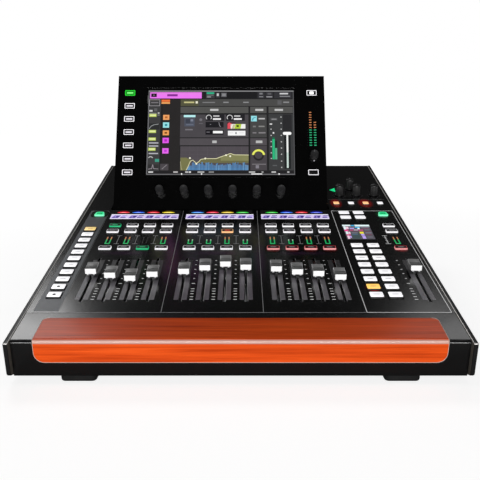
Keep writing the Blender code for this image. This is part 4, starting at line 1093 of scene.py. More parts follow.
mrect(0, 0, 1, 1, 1, 0)
mrect(0.00, 0.00, 0.30, 0.10, 2, 1)
mrect(0.32, 0.02, 0.44, 0.10, 5, 1)
mrect(0.46, 0.00, 1.00, 0.12, 2, 1)
mrect(0.02, 0.12, 0.10, 0.34, 2, 1)
mrect(0.10, 0.14, 0.20, 0.30, 4, 1)
mrect(0.02, 0.34, 0.16, 0.46, 3, 1)
mrect(0.04, 0.47, 0.12, 0.66, 2, 1)
mrect(0.13, 0.50, 0.20, 0.64, 4, 1)
mrect(0.03, 0.68, 0.18, 0.74, 3, 1)
mrect(0.04, 0.76, 0.12, 0.97, 4, 1)
mrect(0.13, 0.78, 0.19, 0.90, 7, 1)
mrect(0.23, 0.16, 0.42, 0.20, 11, 1)
mrect(0.23, 0.23, 0.40, 0.30, 7, 1)
mrect(0.44, 0.14, 0.62, 0.22, 5, 1)
mrect(0.52, 0.22, 0.60, 0.32, 2, 1)
mrect(0.48, 0.24, 0.52, 0.34, 10, 1)
mrect(0.22, 0.36, 0.34, 0.40, 3, 1)
mrect(0.36, 0.35, 0.52, 0.39, 4, 1)
mrect(0.54, 0.36, 0.70, 0.41, 3, 1)
mrect(0.76, 0.35, 0.94, 0.38, 11, 1)
mrect(0.66, 0.18, 0.96, 0.22, 11, 1)
mrect(0.70, 0.25, 0.92, 0.29, 9, 1)
mrect(0.22, 0.47, 0.98, 0.49, 9, 1)
mrect(0.54, 0.50, 0.68, 0.63, 6, 2)
mrect(0.56, 0.65, 0.68, 0.76, 7, 1)
mrect(0.57, 0.79, 0.69, 0.96, 7, 1)
mrect(0.24, 0.55, 0.46, 0.60, 11, 1)
mrect(0.24, 0.66, 0.44, 0.70, 10, 1)
mrect(0.22, 0.50, 0.50, 0.97, 8, 0.5)
mrect(0.74, 0.55, 0.96, 0.60, 11, 1)
mrect(0.74, 0.68, 0.94, 0.72, 9, 1)
mrect(0.76, 0.84, 0.94, 0.87, 11, 1)
mini.done("chassis", slot="gloss_black", smooth=0)

# ------------------------------------------------------------------ knobs


def knob(name, body, node, place, x, y, face, radius, high, ribs=30, pointer=True):
    p = Piece(name, place, [MAT["knob"], MAT["knobtop"], MAT["line_dim"]])
    n = ribs * 4
    z0 = face + 0.85

    def wave(k, z):
        inside = z0 + 1.6 < z < z0 + high - 1.6
        return (0.018 if (k // 2) % 2 else -0.022) if inside else 0.0

    r = radius
    prof = [
        (r * 0.92, z0), (r * 0.995, z0 + 0.3), (r * 0.995, z0 + 1.5), (r * 0.955, z0 + 1.7), (r * 0.975, z0 + 2.2),
        (r * 0.925, z0 + high - 2.2), (r * 0.91, z0 + high - 1.7), (r * 0.925, z0 + high - 1.5), (r * 0.925, z0 + high - 0.9),
        (r * 0.90, z0 + high - 0.4), (r * 0.84, z0 + high - 0.08), (r * 0.80, z0 + high - 0.05), (r * 0.72, z0 + high - 0.25), (r * 0.10, z0 + high - 0.3),
    ]
    mats = [0] * 10 + [1] * 3
    p.lathe(x, y, prof, n, mats=mats, wave=wave)
    if pointer:
        p.box(x - 0.35, x + 0.35, y + r * 0.35, y + r * 0.88, z0 + high - 0.6, z0 + high - 0.02, 2)
    p.lathe(x, y, [(3.0, face - 6.0), (3.0, z0 + 0.5)], 20, 1)
    p.done(body, [node], "knob_black", smooth=32)


for i, dx in enumerate((-87.2, -52.3, -17.4, 17.4, 52.3, 87.2)):
    knob(f"lid_encoder_shell_{i + 1}", f"encoder_{i + 1}", f"lid_encoder_{i + 1}", LID, dx, 28.0, 7.5, 6.2, 17.0, pointer=False)
knob("lid_volume_shell", "lid_volume", "lid_volume_knob", LID, 136.5, 82.6, 7.5, 6.5, 10.0)
for i, (x, t) in enumerate(KNOBS):
    knob(f"monitor_knob_shell_{i + 1}", f"monitor_{i + 1}", f"monitor_knob_{i + 1}", SURF, x, t, 0.0, 6.25, 16.0)

# monitor section marks: a lit arrow, dim lines and small dots round the knobs
mon = Piece("monitor_section_marks", SURF, [GLOW["green"], MAT["line_dim"], GLOW["labeldim"]])
mon.poly([(137.5, 451.0), (146.0, 460.5), (146.0, 441.5)], -0.2, 0.3, 0)
mon.box(130.0, 213.5, 407.0, 407.5, -0.2, PRINT, 1)
for x, t in KNOBS:
    for k in range(11):
        a = math.radians(-240 + 30 * k)
        mon.lathe(x + 9.2 * math.cos(a), t - 9.2 * math.sin(a), [(0.35, -0.2), (0.35, PRINT)], 8, 2 if k % 5 == 0 else 1)
mon.done("chassis", slot="panel_black", smooth=0)

# ------------------------------------------------------------------ lid keys
RL = 4.0
lid_left = Piece("keys_lid_left_caps", LID, [GLOW["lidframe"], MAT["keyblack"], GLOW["label"], GLOW["leafgreen"], MAT["keyside"], GLOW["leafdark"], GLOW["leafpale"], GLOW["lidlabel"]])
for k in range(7):
    m = 3 if k == 6 else 0
    outlined_key(lid_left, -136.0, 56.7 + 20.65 * k, 15.4, 8.8, 9.1, m, 6 if k == 6 else 7, 5 if k == 6 else 1, 0.66, 2.6, side_mat=4, line=0.9, dark=1.0, tall=2.3)
lid_left.box(-144.5, -127.5, 51.5, 186.0, 2.8, 4.2, 4)
lid_left.done("keys_lid_left", ["keypad_lid_left"], "key_white")
lid_right = Piece("keys_lid_right_caps", LID, [GLOW["lidframe"], MAT["keyblack"], GLOW["label"], MAT["keyside"], GLOW["white"]])
outlined_key(lid_right, 135.0, 56.7, 15.4, 8.8, 9.1, 0, 2, 1, 0.6, 2.6, label=False, side_mat=3, line=0.9, dark=1.0)
outlined_key(lid_right, 135.0, 180.6, 15.4, 8.8, 9.1, 0, 2, 1, 0.6, 2.6, label=False, side_mat=3, line=0.9, dark=1.0)
lid_right.slab(135.0, 180.6, 6.4, 4.6, 8.8, 9.14, 1.0, 0.0, 4)
lid_right.box(127.5, 142.5, 52.5, 61.0, 2.8, 4.2, 3)
lid_right.box(127.5, 142.5, 176.0, 185.0, 2.8, 4.2, 3)
lid_right.box(126.4, 130.6, 60.0, 178.0, 2.8, 4.2, 3)
lid_right.done("keys_lid_right", ["keypad_lid_right"], "key_white")

# ------------------------------------------------------------------ lid front: meters, dots
lidm = Piece("lid_level_meters", LID, [GLOW["ladder"], GLOW["ladderhot"], GLOW["meterdim"], GLOW["label"]])
for x, top in ((132.3, 147.0), (139.0, 133.5)):
    r = 98.0
    while r < RL + top:
        lidm.slab(x, r + 0.8, 3.6, 1.35, 7.3, 7.62, 0.3, 0.0, 1 if r > 122.5 else 0, n=1)
        r += 3.95
r = 98.0
while r < 122:
    lidm.slab(127.7, r + 0.8, 1.6, 0.7, 7.3, 7.56, 0.2, 0.0, 2, n=1)
    r += 3.95
lidm.lathe(136.5, RL + 71.0, [(1.0, 7.3), (1.0, 7.62)], 16, 3)
lidm.done("lid", slot="gloss_black", smooth=0)

# ------------------------------------------------------------------ touch screen picture
U0, U1, V0, V1 = -108.5, 108.3, RL + 181.0, RL + 49.4
ui = {}


def uipiece(colour, strength=1.0):
    key = colour
    if key not in ui:
        ui[key] = Piece("screen_" + colour[1:].lower(), LID, [screen_mat("screen_mat_" + colour[1:].lower(), colour, strength)])
    return ui[key]


def X(u):
    return U0 + (U1 - U0) * u


def R(v):
    return V0 + (V1 - V0) * v


def rect(u0, v0, u1, v1, colour, level=1):
    uipiece(colour).box(X(u0), X(u1), R(v1), R(v0), 7.3, 7.40 + 0.03 * level)


def upoly(pts, colour, level=1):
    uipiece(colour).poly([(X(u), R(v)) for u, v in pts], 7.3, 7.40 + 0.03 * level)


def udisc(u, v, r, colour, level=1, n=24):
    uipiece(colour).poly(ring(X(u), R(v), r, n), 7.3, 7.40 + 0.03 * level)


def uarc(u, v, r, width, a0, a1, colour, level=1, n=24):
    cx, cy = X(u), R(v)
    outer = [(cx + r * math.cos(math.radians(a0 + (a1 - a0) * k / n)), cy + r * math.sin(math.radians(a0 + (a1 - a0) * k / n))) for k in range(n + 1)]
    inner = [(cx + (r - width) * math.cos(math.radians(a0 + (a1 - a0) * k / n)), cy + (r - width) * math.sin(math.radians(a0 + (a1 - a0) * k / n))) for k in range(n + 1)]
    for k in range(n):
        uipiece(colour).poly([outer[k], outer[k + 1], inner[k + 1], inner[k]], 7.3, 7.40 + 0.03 * level)


def ustroke(pts, width, colour, level=1):
    q = [(X(u), R(v)) for u, v in pts]
    for (ax, ay), (bx, by) in zip(q, q[1:]):
        dx, dy = bx - ax, by - ay
        d = math.hypot(dx, dy) or 1
        ox, oy = -dy / d * width / 2, dx / d * width / 2
        uipiece(colour).poly([(ax + ox, ay + oy), (bx + ox, by + oy), (bx - ox, by - oy), (ax - ox, ay - oy)], 7.3, 7.40 + 0.03 * level)


# background and frame
rect(0, 0, 1, 1, "#242425", 0)
rect(0, 0, 1, 0.012, "#8E8E90", 1)
rect(0, 0.988, 1, 1, "#6E6E70", 1)
rect(0, 0.012, 0.006, 0.988, "#77777A", 1)
rect(0.994, 0.012, 1, 0.988, "#5A5A5C", 1)
# title bar
rect(0.010, 0.020, 0.366, 0.095, "#F47CF8", 2)
rect(0.010, 0.020, 0.366, 0.050, "#EE84EE", 3)
rect(0.018, 0.036, 0.056, 0.078, "#12060F", 4)
rect(0.030, 0.048, 0.044, 0.066, "#6C5A6C", 5)
rect(0.128, 0.044, 0.200, 0.070, "#8A2F96", 4)
rect(0.385, 0.018, 0.745, 0.095, "#1D1D1F", 1)
rect(0.395, 0.018, 0.455, 0.093, "#3C3C40", 2)
rect(0.400, 0.020, 0.452, 0.042, "#2FB488", 3)
rect(0.402, 0.052, 0.448, 0.060, "#77777A", 3)
rect(0.402, 0.072, 0.430, 0.082, "#A4A4A6", 3)
rect(0.462, 0.022, 0.492, 0.085, "#3A3A3E", 2)
rect(0.470, 0.034, 0.484, 0.066, "#C9C9CB", 3)
rect(0.500, 0.026, 0.538, 0.078, "#5A5A5E", 2)
rect(0.506, 0.036, 0.532, 0.068, "#88888C", 3)
for u0, u1 in ((0.752, 0.800), (0.806, 0.858), (0.866, 0.985)):
    rect(u0, 0.018, u1, 0.093, "#343438", 2)
rect(0.764, 0.026, 0.786, 0.048, "#7C7C80", 3)
rect(0.762, 0.070, 0.790, 0.080, "#8E8E92", 3)
rect(0.820, 0.028, 0.846, 0.050, "#5C5C60", 3)
rect(0.812, 0.070, 0.852, 0.082, "#9C9CA0", 3)
rect(0.904, 0.028, 0.962, 0.046, "#CFCFD2", 3)
rect(0.904, 0.064, 0.975, 0.076, "#88888C", 3)
# tab row
rect(0.222, 0.105, 0.994, 0.188, "#4C4C4B", 1)
rect(0.222, 0.105, 0.345, 0.188, "#54543F", 2)
rect(0.245, 0.134, 0.315, 0.152, "#C9C48A", 3)
rect(0.325, 0.130, 0.340, 0.156, "#F2EFD8", 3)
rect(0.372, 0.138, 0.458, 0.150, "#7E7E80", 3)
rect(0.515, 0.136, 0.552, 0.150, "#8E8E90", 3)
rect(0.652, 0.136, 0.690, 0.150, "#8E8E90", 3)
rect(0.888, 0.118, 0.916, 0.170, "#5E5E60", 3)
rect(0.928, 0.134, 0.968, 0.150, "#8C8C8E", 3)
# section heads
for u0, u1, a, b in ((0.222, 0.688, 0.425, 0.482), (0.700, 0.812, 0.735, 0.790), (0.826, 0.992, 0.868, 0.925)):
    rect(u0, 0.197, u1, 0.272, "#555553", 1)
    rect(a, 0.222, b, 0.246, "#C6C6C6", 3)
for u0, u1, a, b in ((0.222, 0.688, 0.442, 0.472), (0.700, 0.812, 0.738, 0.782)):
    rect(u0, 0.573, u1, 0.655, "#534F53", 1)
    rect(a, 0.600, b, 0.630, "#BDBDBD", 3)
# input section
rect(0.222, 0.290, 0.688, 0.562, "#4B484C", 1)
rect(0.245, 0.296, 0.325, 0.322, "#BFF6F8", 3)
rect(0.250, 0.330, 0.320, 0.432, "#505563", 2)
rect(0.258, 0.345, 0.290, 0.395, "#3E424E", 3)
rect(0.292, 0.345, 0.310, 0.372, "#7E8494", 3)
rect(0.262, 0.405, 0.312, 0.418, "#686E7E", 3)
rect(0.256, 0.462, 0.308, 0.478, "#77747A", 3)
udisc(0.362, 0.352, 2.2, "#727076", 2)
rect(0.350, 0.392, 0.376, 0.402, "#66646A", 2)
for u, au in ((0.395, 0.417), (0.535, 0.560)):
    rect(u, 0.288, u + 0.128, 0.365, "#232226", 2)
    uarc(au, 0.326, 4.4, 1.0, -40, 220, "#DCDCDC", 4, 18)
    rect(au + 0.030, 0.300, au + 0.072, 0.316, "#C8C8C8", 4)
    rect(au + 0.028, 0.334, au + 0.082, 0.354, "#F2F2F2", 4)
rect(0.395, 0.378, 0.518, 0.445, "#1E1D21", 2)
rect(0.425, 0.405, 0.432, 0.412, "#88888C", 3)
ustroke([(0.486, 0.385), (0.490, 0.418), (0.498, 0.438)], 0.8, "#9A989E", 3)
rect(0.395, 0.474, 0.518, 0.530, "#1A191D", 2)
rect(0.402, 0.494, 0.424, 0.506, "#6A686E", 3)
rect(0.446, 0.486, 0.512, 0.514, "#FFFFFF", 3)
rect(0.541, 0.384, 0.600, 0.446, "#4A2C34", 2)
upoly([(0.545, 0.460), (0.545, 0.402), (0.556, 0.384), (0.575, 0.400), (0.568, 0.460)], "#E4505E", 3)
rect(0.566, 0.404, 0.667, 0.458, "#F6F6F2", 3)
upoly([(0.592, 0.458), (0.600, 0.404), (0.640, 0.404), (0.634, 0.458)], "#B6D23C", 4)
rect(0.606, 0.416, 0.622, 0.440, "#3E4A1C", 5)
upoly([(0.575, 0.458), (0.582, 0.410), (0.598, 0.410), (0.590, 0.458)], "#C8C496", 4)
rect(0.548, 0.484, 0.667, 0.540, "#FAFAFA", 3)
rect(0.598, 0.500, 0.608, 0.524, "#8C8C8E", 4)
rect(0.556, 0.506, 0.584, 0.512, "#D0D0D2", 4)
rect(0.622, 0.506, 0.656, 0.512, "#D0D0D2", 4)
# filter column
rect(0.700, 0.290, 0.812, 0.562, "#474747", 1)
rect(0.706, 0.306, 0.745, 0.372, "#9AE8F0", 3)
upoly([(0.712, 0.362), (0.716, 0.330), (0.738, 0.318), (0.738, 0.326), (0.722, 0.338), (0.720, 0.362)], "#4C94A4", 4)
rect(0.757, 0.332, 0.800, 0.348, "#C0C0C0", 3)
rect(0.718, 0.424, 0.738, 0.442, "#7A7A7A", 3)
rect(0.757, 0.424, 0.798, 0.440, "#868684", 3)
rect(0.716, 0.500, 0.742, 0.516, "#7E7A7E", 3)
rect(0.757, 0.500, 0.804, 0.516, "#868286", 3)
rect(0.700, 0.662, 0.812, 0.948, "#4A464A", 1)
udisc(0.7555, 0.775, 8.0, "#2A282A", 2, 32)
udisc(0.7555, 0.772, 5.4, "#4C484C", 3, 32)
uarc(0.7555, 0.776, 9.6, 3.0, 8, 172, "#EEF26A", 5, 26)
rect(0.712, 0.872, 0.806, 0.882, "#7C787C", 3)
rect(0.736, 0.888, 0.758, 0.925, "#85818A", 3)
# level column
rect(0.826, 0.284, 0.992, 0.948, "#3E3F40", 1)
rect(0.838, 0.330, 0.886, 0.362, "#525254", 2)
rect(0.846, 0.340, 0.880, 0.352, "#909092", 3)
rect(0.922, 0.290, 0.984, 0.500, "#2B2B2D", 2)
rect(0.930, 0.500, 0.974, 0.930, "#202324", 2)
for v in (0.320, 0.394, 0.465, 0.539, 0.615, 0.688, 0.761, 0.841, 0.914):
    rect(0.907, v - 0.006, 0.915, v + 0.006, "#C4C4C4", 3)
for v in (0.404, 0.465, 0.539, 0.612, 0.672, 0.744, 0.810):
    rect(0.838, v - 0.006, 0.846, v + 0.006, "#C4C4C4", 3)
rect(0.833, 0.398, 0.850, 0.410, "#F0F0F0", 4)
rect(0.853, 0.500, 0.863, 0.518, "#F0F0F0", 3)
rect(0.850, 0.560, 0.866, 0.583, "#1D6A4A", 3)
rect(0.850, 0.583, 0.866, 0.820, "#2CBC80", 3)
rect(0.868, 0.600, 0.882, 0.688, "#24302C", 3)
rect(0.868, 0.688, 0.882, 0.820, "#5CB48C", 3)
rect(0.946, 0.530, 0.958, 0.740, "#F4F6F4", 4)
rect(0.946, 0.740, 0.958, 0.920, "#CFE2DA", 4)
uipiece("#FFFFFF").slab(X(0.951), R(0.515), 12.6, 4.6, 7.3, 7.56, 2.2, 0.0, 0)
rect(0.850, 0.886, 0.880, 0.898, "#5C5E60", 3)
# equaliser graph
rect(0.226, 0.668, 0.688, 0.948, "#524D52", 1)
for k in range(1, 6):
    v = 0.668 + 0.28 * k / 6
    rect(0.226, v - 0.0012, 0.688, v + 0.0012, "#5C575C", 2)
for u in (0.29, 0.345, 0.41, 0.47, 0.53, 0.59, 0.64):
    rect(u - 0.0008, 0.668, u + 0.0008, 0.948, "#5C575C", 2)
curve = [(0.268, 0.948), (0.280, 0.905), (0.296, 0.842), (0.312, 0.828), (0.336, 0.868), (0.352, 0.848), (0.365, 0.822), (0.398, 0.812), (0.470, 0.812), (0.500, 0.792), (0.540, 0.768), (0.566, 0.752), (0.592, 0.768), (0.688, 0.770)]
flat = 0.800
olive = [(0.228, 0.800), (0.228, 0.948), (0.268, 0.948)]
upoly([(0.228, 0.800), (0.268, 0.800), (0.300, 0.830), (0.280, 0.905), (0.268, 0.948), (0.228, 0.948)], "#79784E", 3)
for (ua, va), (ub, vb) in zip(curve[5:], curve[6:]):
    upoly([(ua, va), (ub, vb), (ub, 0.862), (ua, 0.862)], "#6E6D4A", 3)
upoly([(0.500, 0.792), (0.540, 0.768), (0.592, 0.766), (0.688, 0.770), (0.688, 0.836), (0.500, 0.836)], "#86865A", 4)
random.seed(11)
u = 0.272
while u < 0.686:
    w = 0.0045 + 0.004 * random.random()
    edge = max(0.0, (0.300 - u) / 0.03)
    h = (0.046 + 0.042 * random.random()) * (1 - 0.7 * edge)
    top = 0.946 - max(0.018, h + 0.006)
    rect(u, top, min(u + w, 0.686), 0.946, ("#4E7FAE", "#6A9CC8", "#5B8ABA")[int(3 * random.random()) % 3], 5)
    u += w + 0.0022
rect(0.272, 0.922, 0.686, 0.946, "#4A7096", 4)
ustroke(curve, 0.9, "#E9E6B8", 6)
ustroke([(0.228, 0.846), (0.234, 0.920), (0.240, 0.945)], 0.7, "#B8B48C", 6)
for u, v in ((0.292, 0.806), (0.336, 0.872), (0.396, 0.810), (0.536, 0.772), (0.564, 0.784)):
    udisc(u, v, 1.4, "#F6F4DC", 6, 12)
# left columns
rect(0.008, 0.100, 0.086, 0.985, "#3F3F40", 1)
rect(0.100, 0.100, 0.220, 0.985, "#2A2828", 1)
uipiece("#A8A4A8").frame(X(0.043), R(0.147), 15.8, 10.6, 7.3, 7.49, 0.7, 0.3)
rect(0.018, 0.140, 0.068, 0.152, "#7E7A7E", 3)
rect(0.014, 0.110, 0.072, 0.122, "#5A5450", 3)
rect(0.008, 0.235, 0.030, 0.255, "#D8D8D8", 3)
rect(0.040, 0.215, 0.062, 0.250, "#5E5E60", 3)
rect(0.008, 0.270, 0.058, 0.280, "#88888A", 3)
rect(0.066, 0.264, 0.078, 0.280, "#C0C0C0", 3)
for v in (0.300, 0.492, 0.582, 0.702):
    rect(0.008, v - 0.018, 0.058, v + 0.018, "#B9CC62", 3)
    rect(0.014, v - 0.010, 0.054, v + 0.008, "#EAF4A8", 4)
rect(0.064, 0.292, 0.080, 0.300, "#8E8E90", 3)
ustroke([(0.010, 0.462), (0.024, 0.428), (0.044, 0.412), (0.074, 0.404)], 0.9, "#A4A8A8", 3)
rect(0.008, 0.395, 0.082, 0.470, "#2D2E2F", 2)
for v in (0.628, 0.664, 0.752):
    rect(0.012, v - 0.007, 0.076, v + 0.007, "#B8B8C0", 3)
uarc(0.026, 0.812, 3.6, 1.2, 20, 160, "#C9C9C9", 3, 10)
rect(0.056, 0.815, 0.084, 0.850, "#3F9C86", 3)
rect(0.008, 0.880, 0.082, 0.940, "#333334", 2)
ustroke([(0.012, 0.934), (0.036, 0.928), (0.042, 0.880), (0.048, 0.928), (0.080, 0.932)], 0.7, "#A8A0A8", 3)
rect(0.090, 0.110, 0.148, 0.136, "#F0763C", 3)
rect(0.090, 0.140, 0.148, 0.160, "#F4A860", 3)
for v0, v1, c, d in ((0.294, 0.354, "#F6A866", "#B86A34"), (0.384, 0.447, "#9CE8EC", "#3E94A0"), (0.480, 0.537, "#F4A45C", "#7E4A1E"), (0.567, 0.630, "#E85CF0", "#B22CC0"), (0.690, 0.752, "#EC6CF2", "#C23CD8")):
    rect(0.104, v0, 0.146, v1, c, 3)
    rect(0.116, v0 + 0.018, 0.134, v1 - 0.018, d, 4)
rect(0.092, 0.872, 0.148, 0.948, "#4C484C", 2)
ustroke([(0.104, 0.935), (0.122, 0.905), (0.136, 0.885)], 1.0, "#8C888C", 3)
# foot row
rect(0.008, 0.955, 0.994, 0.988, "#232224", 2)
for u0, u1, c in ((0.014, 0.046, "#D8D8D8"), (0.182, 0.212, "#C4C0C0"), (0.262, 0.284, "#C8C8C8"), (0.288, 0.300, "#F4F4F4"), (0.345, 0.390, "#B8B8B8"), (0.420, 0.455, "#8C8C8C"), (0.690, 0.732, "#C0C0C0"), (0.775, 0.788, "#A8A8A8"), (0.842, 0.872, "#C4C4C4"), (0.948, 0.962, "#C0C0C0")):
    rect(u0, 0.960, u1, 0.976, c, 3)
rect(0.706, 0.984, 0.780, 0.996, "#F0F0F0", 3)
for u in (0.238, 0.372, 0.893):
    udisc(u, 0.990, 1.1, "#FFFFFF", 3, 12)
for key, p in ui.items():
    p.done("lid", slot="gloss_black", smooth=0)

# ------------------------------------------------------------------ lid back
HL, BACK_M = 154.35, -15.5
backp = Piece("lid_back_details", LID, [MAT["plastic"], MAT["screw"], MAT["inner"]])
for sx in (-1, 1):
    for r in (14.0, 192.0):
        backp.lathe(sx * 142.0, r, [(3.4, BACK_M + 0.3), (3.4, BACK_M - 0.02)][::-1], 20, 1)
for k in range(9):
    x = -64 + 16 * k
    backp.slab(x, 168.0, 9.0, 2.2, BACK_M - 0.03, BACK_M + 0.4, 1.0, 0.0, 2)
    backp.slab(x, 160.0, 9.0, 2.2, BACK_M - 0.03, BACK_M + 0.4, 1.0, 0.0, 2)
    backp.slab(x, 152.0, 9.0, 2.2, BACK_M - 0.03, BACK_M + 0.4, 1.0, 0.0, 2)
backp.done("lid", slot="lid_case")

# ------------------------------------------------------------------ feet
for name, x, y in (("front_left", -157, 23), ("front_right", 157, 23), ("rear_left", -157, 540), ("rear_right", 157, 540)):
    p = Piece(f"foot_{name}_rubber", BASE, [MAT["rubber"]])
    loops = []
    for inset, z in ((2.0, 0.0), (1.3, 0.12), (0.75, 0.5), (0.3, 1.2), (0.05, 2.2), (0.0, 3.4), (0.0, 6.3)):
        loops.append([(u, v, z) for u, v in rrect(x, y, 35.0 - 2 * inset, 26.0 - 2 * inset, 5.0 - inset, 6)])
    p.loft(loops)
    o = raw(p)
    hole = Piece("hole", BASE, [MAT["rubber"]])
    hole.lathe(x, y, [(4.0, -2.0), (4.0, 2.6)], 24)
    boolean(o, raw(hole))
    finish_raw(o, "chassis", [f"foot_{name}"], smooth=40)
    q = Piece(f"foot_{name}_screw", BASE, [MAT["screw"]])
    q.lathe(x, y, [(1.2, 1.9), (2.6, 1.5), (3.3, 2.0), (3.3, 2.7)], 20)
    q.done("chassis", slot="steel_bare")

# ------------------------------------------------------------------ rear connectors
REAR = BASE @ Matrix(((1, 0, 0, 0), (0, 0, -1, 0.0), (0, 1, 0, 0), (0, 0, 0, 1))) @ Matrix.Identity(4)
# REAR frame: x across, y up, z towards the front; the rear face is at z = -572.3
REAR = BASE @ Matrix(((-1, 0, 0, 0), (0, 0, 1, 0), (0, 1, 0, 0), (0, 0, 0, 1)))
# x mirrored so that the frame stays right-handed: x' = -X, y' = Z, z' = Y
RF = 572.3


def rear(name, mats):
    return Piece(name, REAR, mats)


XIN, ZIN = [-120.0 + 28.0 * i for i in range(8)], 92.0
XOUT, ZOUT = [-120.0 + 28.0 * i for i in range(4)], 50.0
flanges = rear("connector_flanges", [MAT["plastic"], MAT["nickel"], MAT["screw"], MAT["gold"]])


def hexhead(p, x, y, z, r=2.6, mat=2):
    p.lathe(-x, y, [(r, z - 0.2), (r, z + 0.35), (r * 0.8, z + 0.6)], 18, mat)


for x in XIN:
    flanges.frame(-x, ZIN, 26.0, 31.0, RF, RF + 1.15, 1.0, 2.4, 0)
    flanges.lathe(-x, ZIN, [(12.3, RF + 0.1), (12.3, RF + 1.75), (11.4, RF + 1.95), (10.2, RF + 1.9), (10.0, RF + 1.3)], 36, 1)
    for s in (-1, 1):
        hexhead(flanges, x + s * 10.2, ZIN - s * 12.8, RF + 0.3, 1.9)
    flanges.slab(-x, ZIN + 11.9, 7.0, 3.4, RF, RF + 1.8, 0.8, 0.3, 1)
for x in XOUT:
    flanges.frame(-x, ZOUT, 26.0, 31.0, RF, RF + 1.15, 1.0, 2.4, 0)
    for s in (-1, 1):
        hexhead(flanges, x + s * 10.2, ZOUT - s * 12.8, RF + 0.3, 1.9)
for x in (64.0, 86.0):
    flanges.lathe(-x, ZOUT, [(8.0, RF + 0.05), (8.0, RF + 1.2), (7.4, RF + 1.6), (6.2, RF + 1.6)], 6, 1)
flanges.done("chassis", slot="socket_black")

cup = rear("output_socket_shells", [MAT["nickel"], MAT["gold"]])
for x in XOUT:
    rows = []
    for r, z in ((12.0, RF + 0.0), (12.0, RF + 1.5), (11.5, RF + 1.8), (8.0, RF + 1.8), (7.55, RF + 1.4), (7.5, RF - 11.0)):
        rows.append([(-x + r * math.cos(2 * math.pi * k / 36), ZOUT + r * math.sin(2 * math.pi * k / 36), z) for k in range(36)])
    vs = [[cup.bm.verts.new(q) for q in row] for row in rows]
    for a, b in zip(vs, vs[1:]):
        for i in range(36):
            j = (i + 1) % 36
            cup.bm.faces.new((a[i], a[j], b[j], b[i]))
    back = vs[-1]
    cup.bm.faces.new(back)
    cup.bm.faces.new(list(reversed(vs[0])))
    for k in (90, 210, 330):
        a = math.radians(k)
        cup.lathe(-(x + 4.2 * math.cos(a)), ZOUT - 4.2 * math.sin(a), [(1.2, RF - 10.9), (1.2, RF + 0.2), (0.7, RF + 0.8)], 14, 1)
cup.done("chassis", slot="socket_black")

faces = rear("input_socket_faces", [MAT["plastic"], MAT["inner"]])
for x in XIN:
    faces.lathe(-x, ZIN, [(9.9, RF + 0.2), (9.9, RF + 1.62), (9.5, RF + 1.75)], 32, 0)
    for k in (90, 210, 330):
        a = math.radians(k)
        faces.lathe(-(x + 4.2 * math.cos(a)), ZIN - 4.2 * math.sin(a), [(1.35, RF + 1.0), (1.35, RF + 1.79)], 14, 1)
faces.done("chassis", slot="socket_black")

more = rear("rear_details", [MAT["nickel"], MAT["gold"], MAT["screw"], MAT["plastic"], MAT["line"], GLOW["meter"]])
for x in (-4.0, 18.0, 40.0):
    more.frame(-x, ZOUT, 16.4, 14.6, RF - 0.3, RF + 0.7, 1.5, 0.6, 0)
    for k in range(8):
        more.box(-x - 4.2 + 1.1 * k, -x - 3.8 + 1.1 * k, ZOUT + 1.8, ZOUT + 4.3, RF - 9.0, RF - 1.5, 1)
    more.slab(-x - 5.2, ZOUT + 8.6, 2.2, 1.2, RF, RF + 0.3, 0.2, 0.0, 5, n=1)
for sx in (-1, 1):
    for sy in (-1, 1):
        hexhead(more, -180 + sx * 25, 62 + sy * 25, RF + 0.2, 2.7)
for x in (-211, -60, 60, 211):
    hexhead(more, x, 14.5, RF + 0.2, 2.7)
for x in (-211, 211):
    hexhead(more, x, 110, RF + 0.2, 2.7)
    hexhead(more, x, 145, RF + 0.2, 2.7)
for x in (-170, -60, 40, 120):
    hexhead(more, x, 119.5, RF + 0.2, 2.7)
for s in (-1, 1):
    hexhead(more, 178 + s * 20, 45, RF + 1.35, 2.4)
for k in (-7, 0, 7):
    more.box(-178 - k - 1.02, -178 - k + 1.02, 45 + (1.0 if k == 0 else -2.0) - 2.05, 45 + (1.0 if k == 0 else -2.0) + 2.05, RF - 14.0, RF - 0.2, 0)
for x in XIN + XOUT:
    y = ZIN - 18.6 if x in XIN else ZOUT - 18.6
for i, x in enumerate(XIN):
    more.box(-x - 4, -x + 4, ZIN - 19.4, ZIN - 18.8, RF - 0.2, RF + 0.05, 4)
for i, x in enumerate(XOUT):
    more.box(-x - 4, -x + 4, ZOUT - 19.4, ZOUT - 18.8, RF - 0.2, RF + 0.05, 4)
more.frame(-138.0, 45.0, 18.0, 25.0, RF - 0.2, RF + 0.9, 1.7, 1.6, 3)
more.done("chassis", slot="socket_black")

# ------------------------------------------------------------------ well seal and underside screws
# a seal along the lid well's rear edge, closing the gap over the rear panel
seal = Piece("well_rear_seal", BASE, [MAT["plastic"]])
seal.slab(-29.0, 571.12, 316.2, 2.24, 124.9, 128.3, 0.3, 0.3, 0)
seal.done("chassis", slot="socket_black")

under = Piece("underside_screws", BASE @ Matrix(((1, 0, 0, 0), (0, -1, 0, 0), (0, 0, -1, 0), (0, 0, 0, 1))), [MAT["screw"]])
for x in (-205, -70, 70, 205):
    for y in (20, 200, 380, 560):
        under.lathe(x, -y, [(3.2, -7.3), (3.2, -6.75), (2.4, -6.45)], 18, 0)
under.done("chassis", slot="steel_bare")

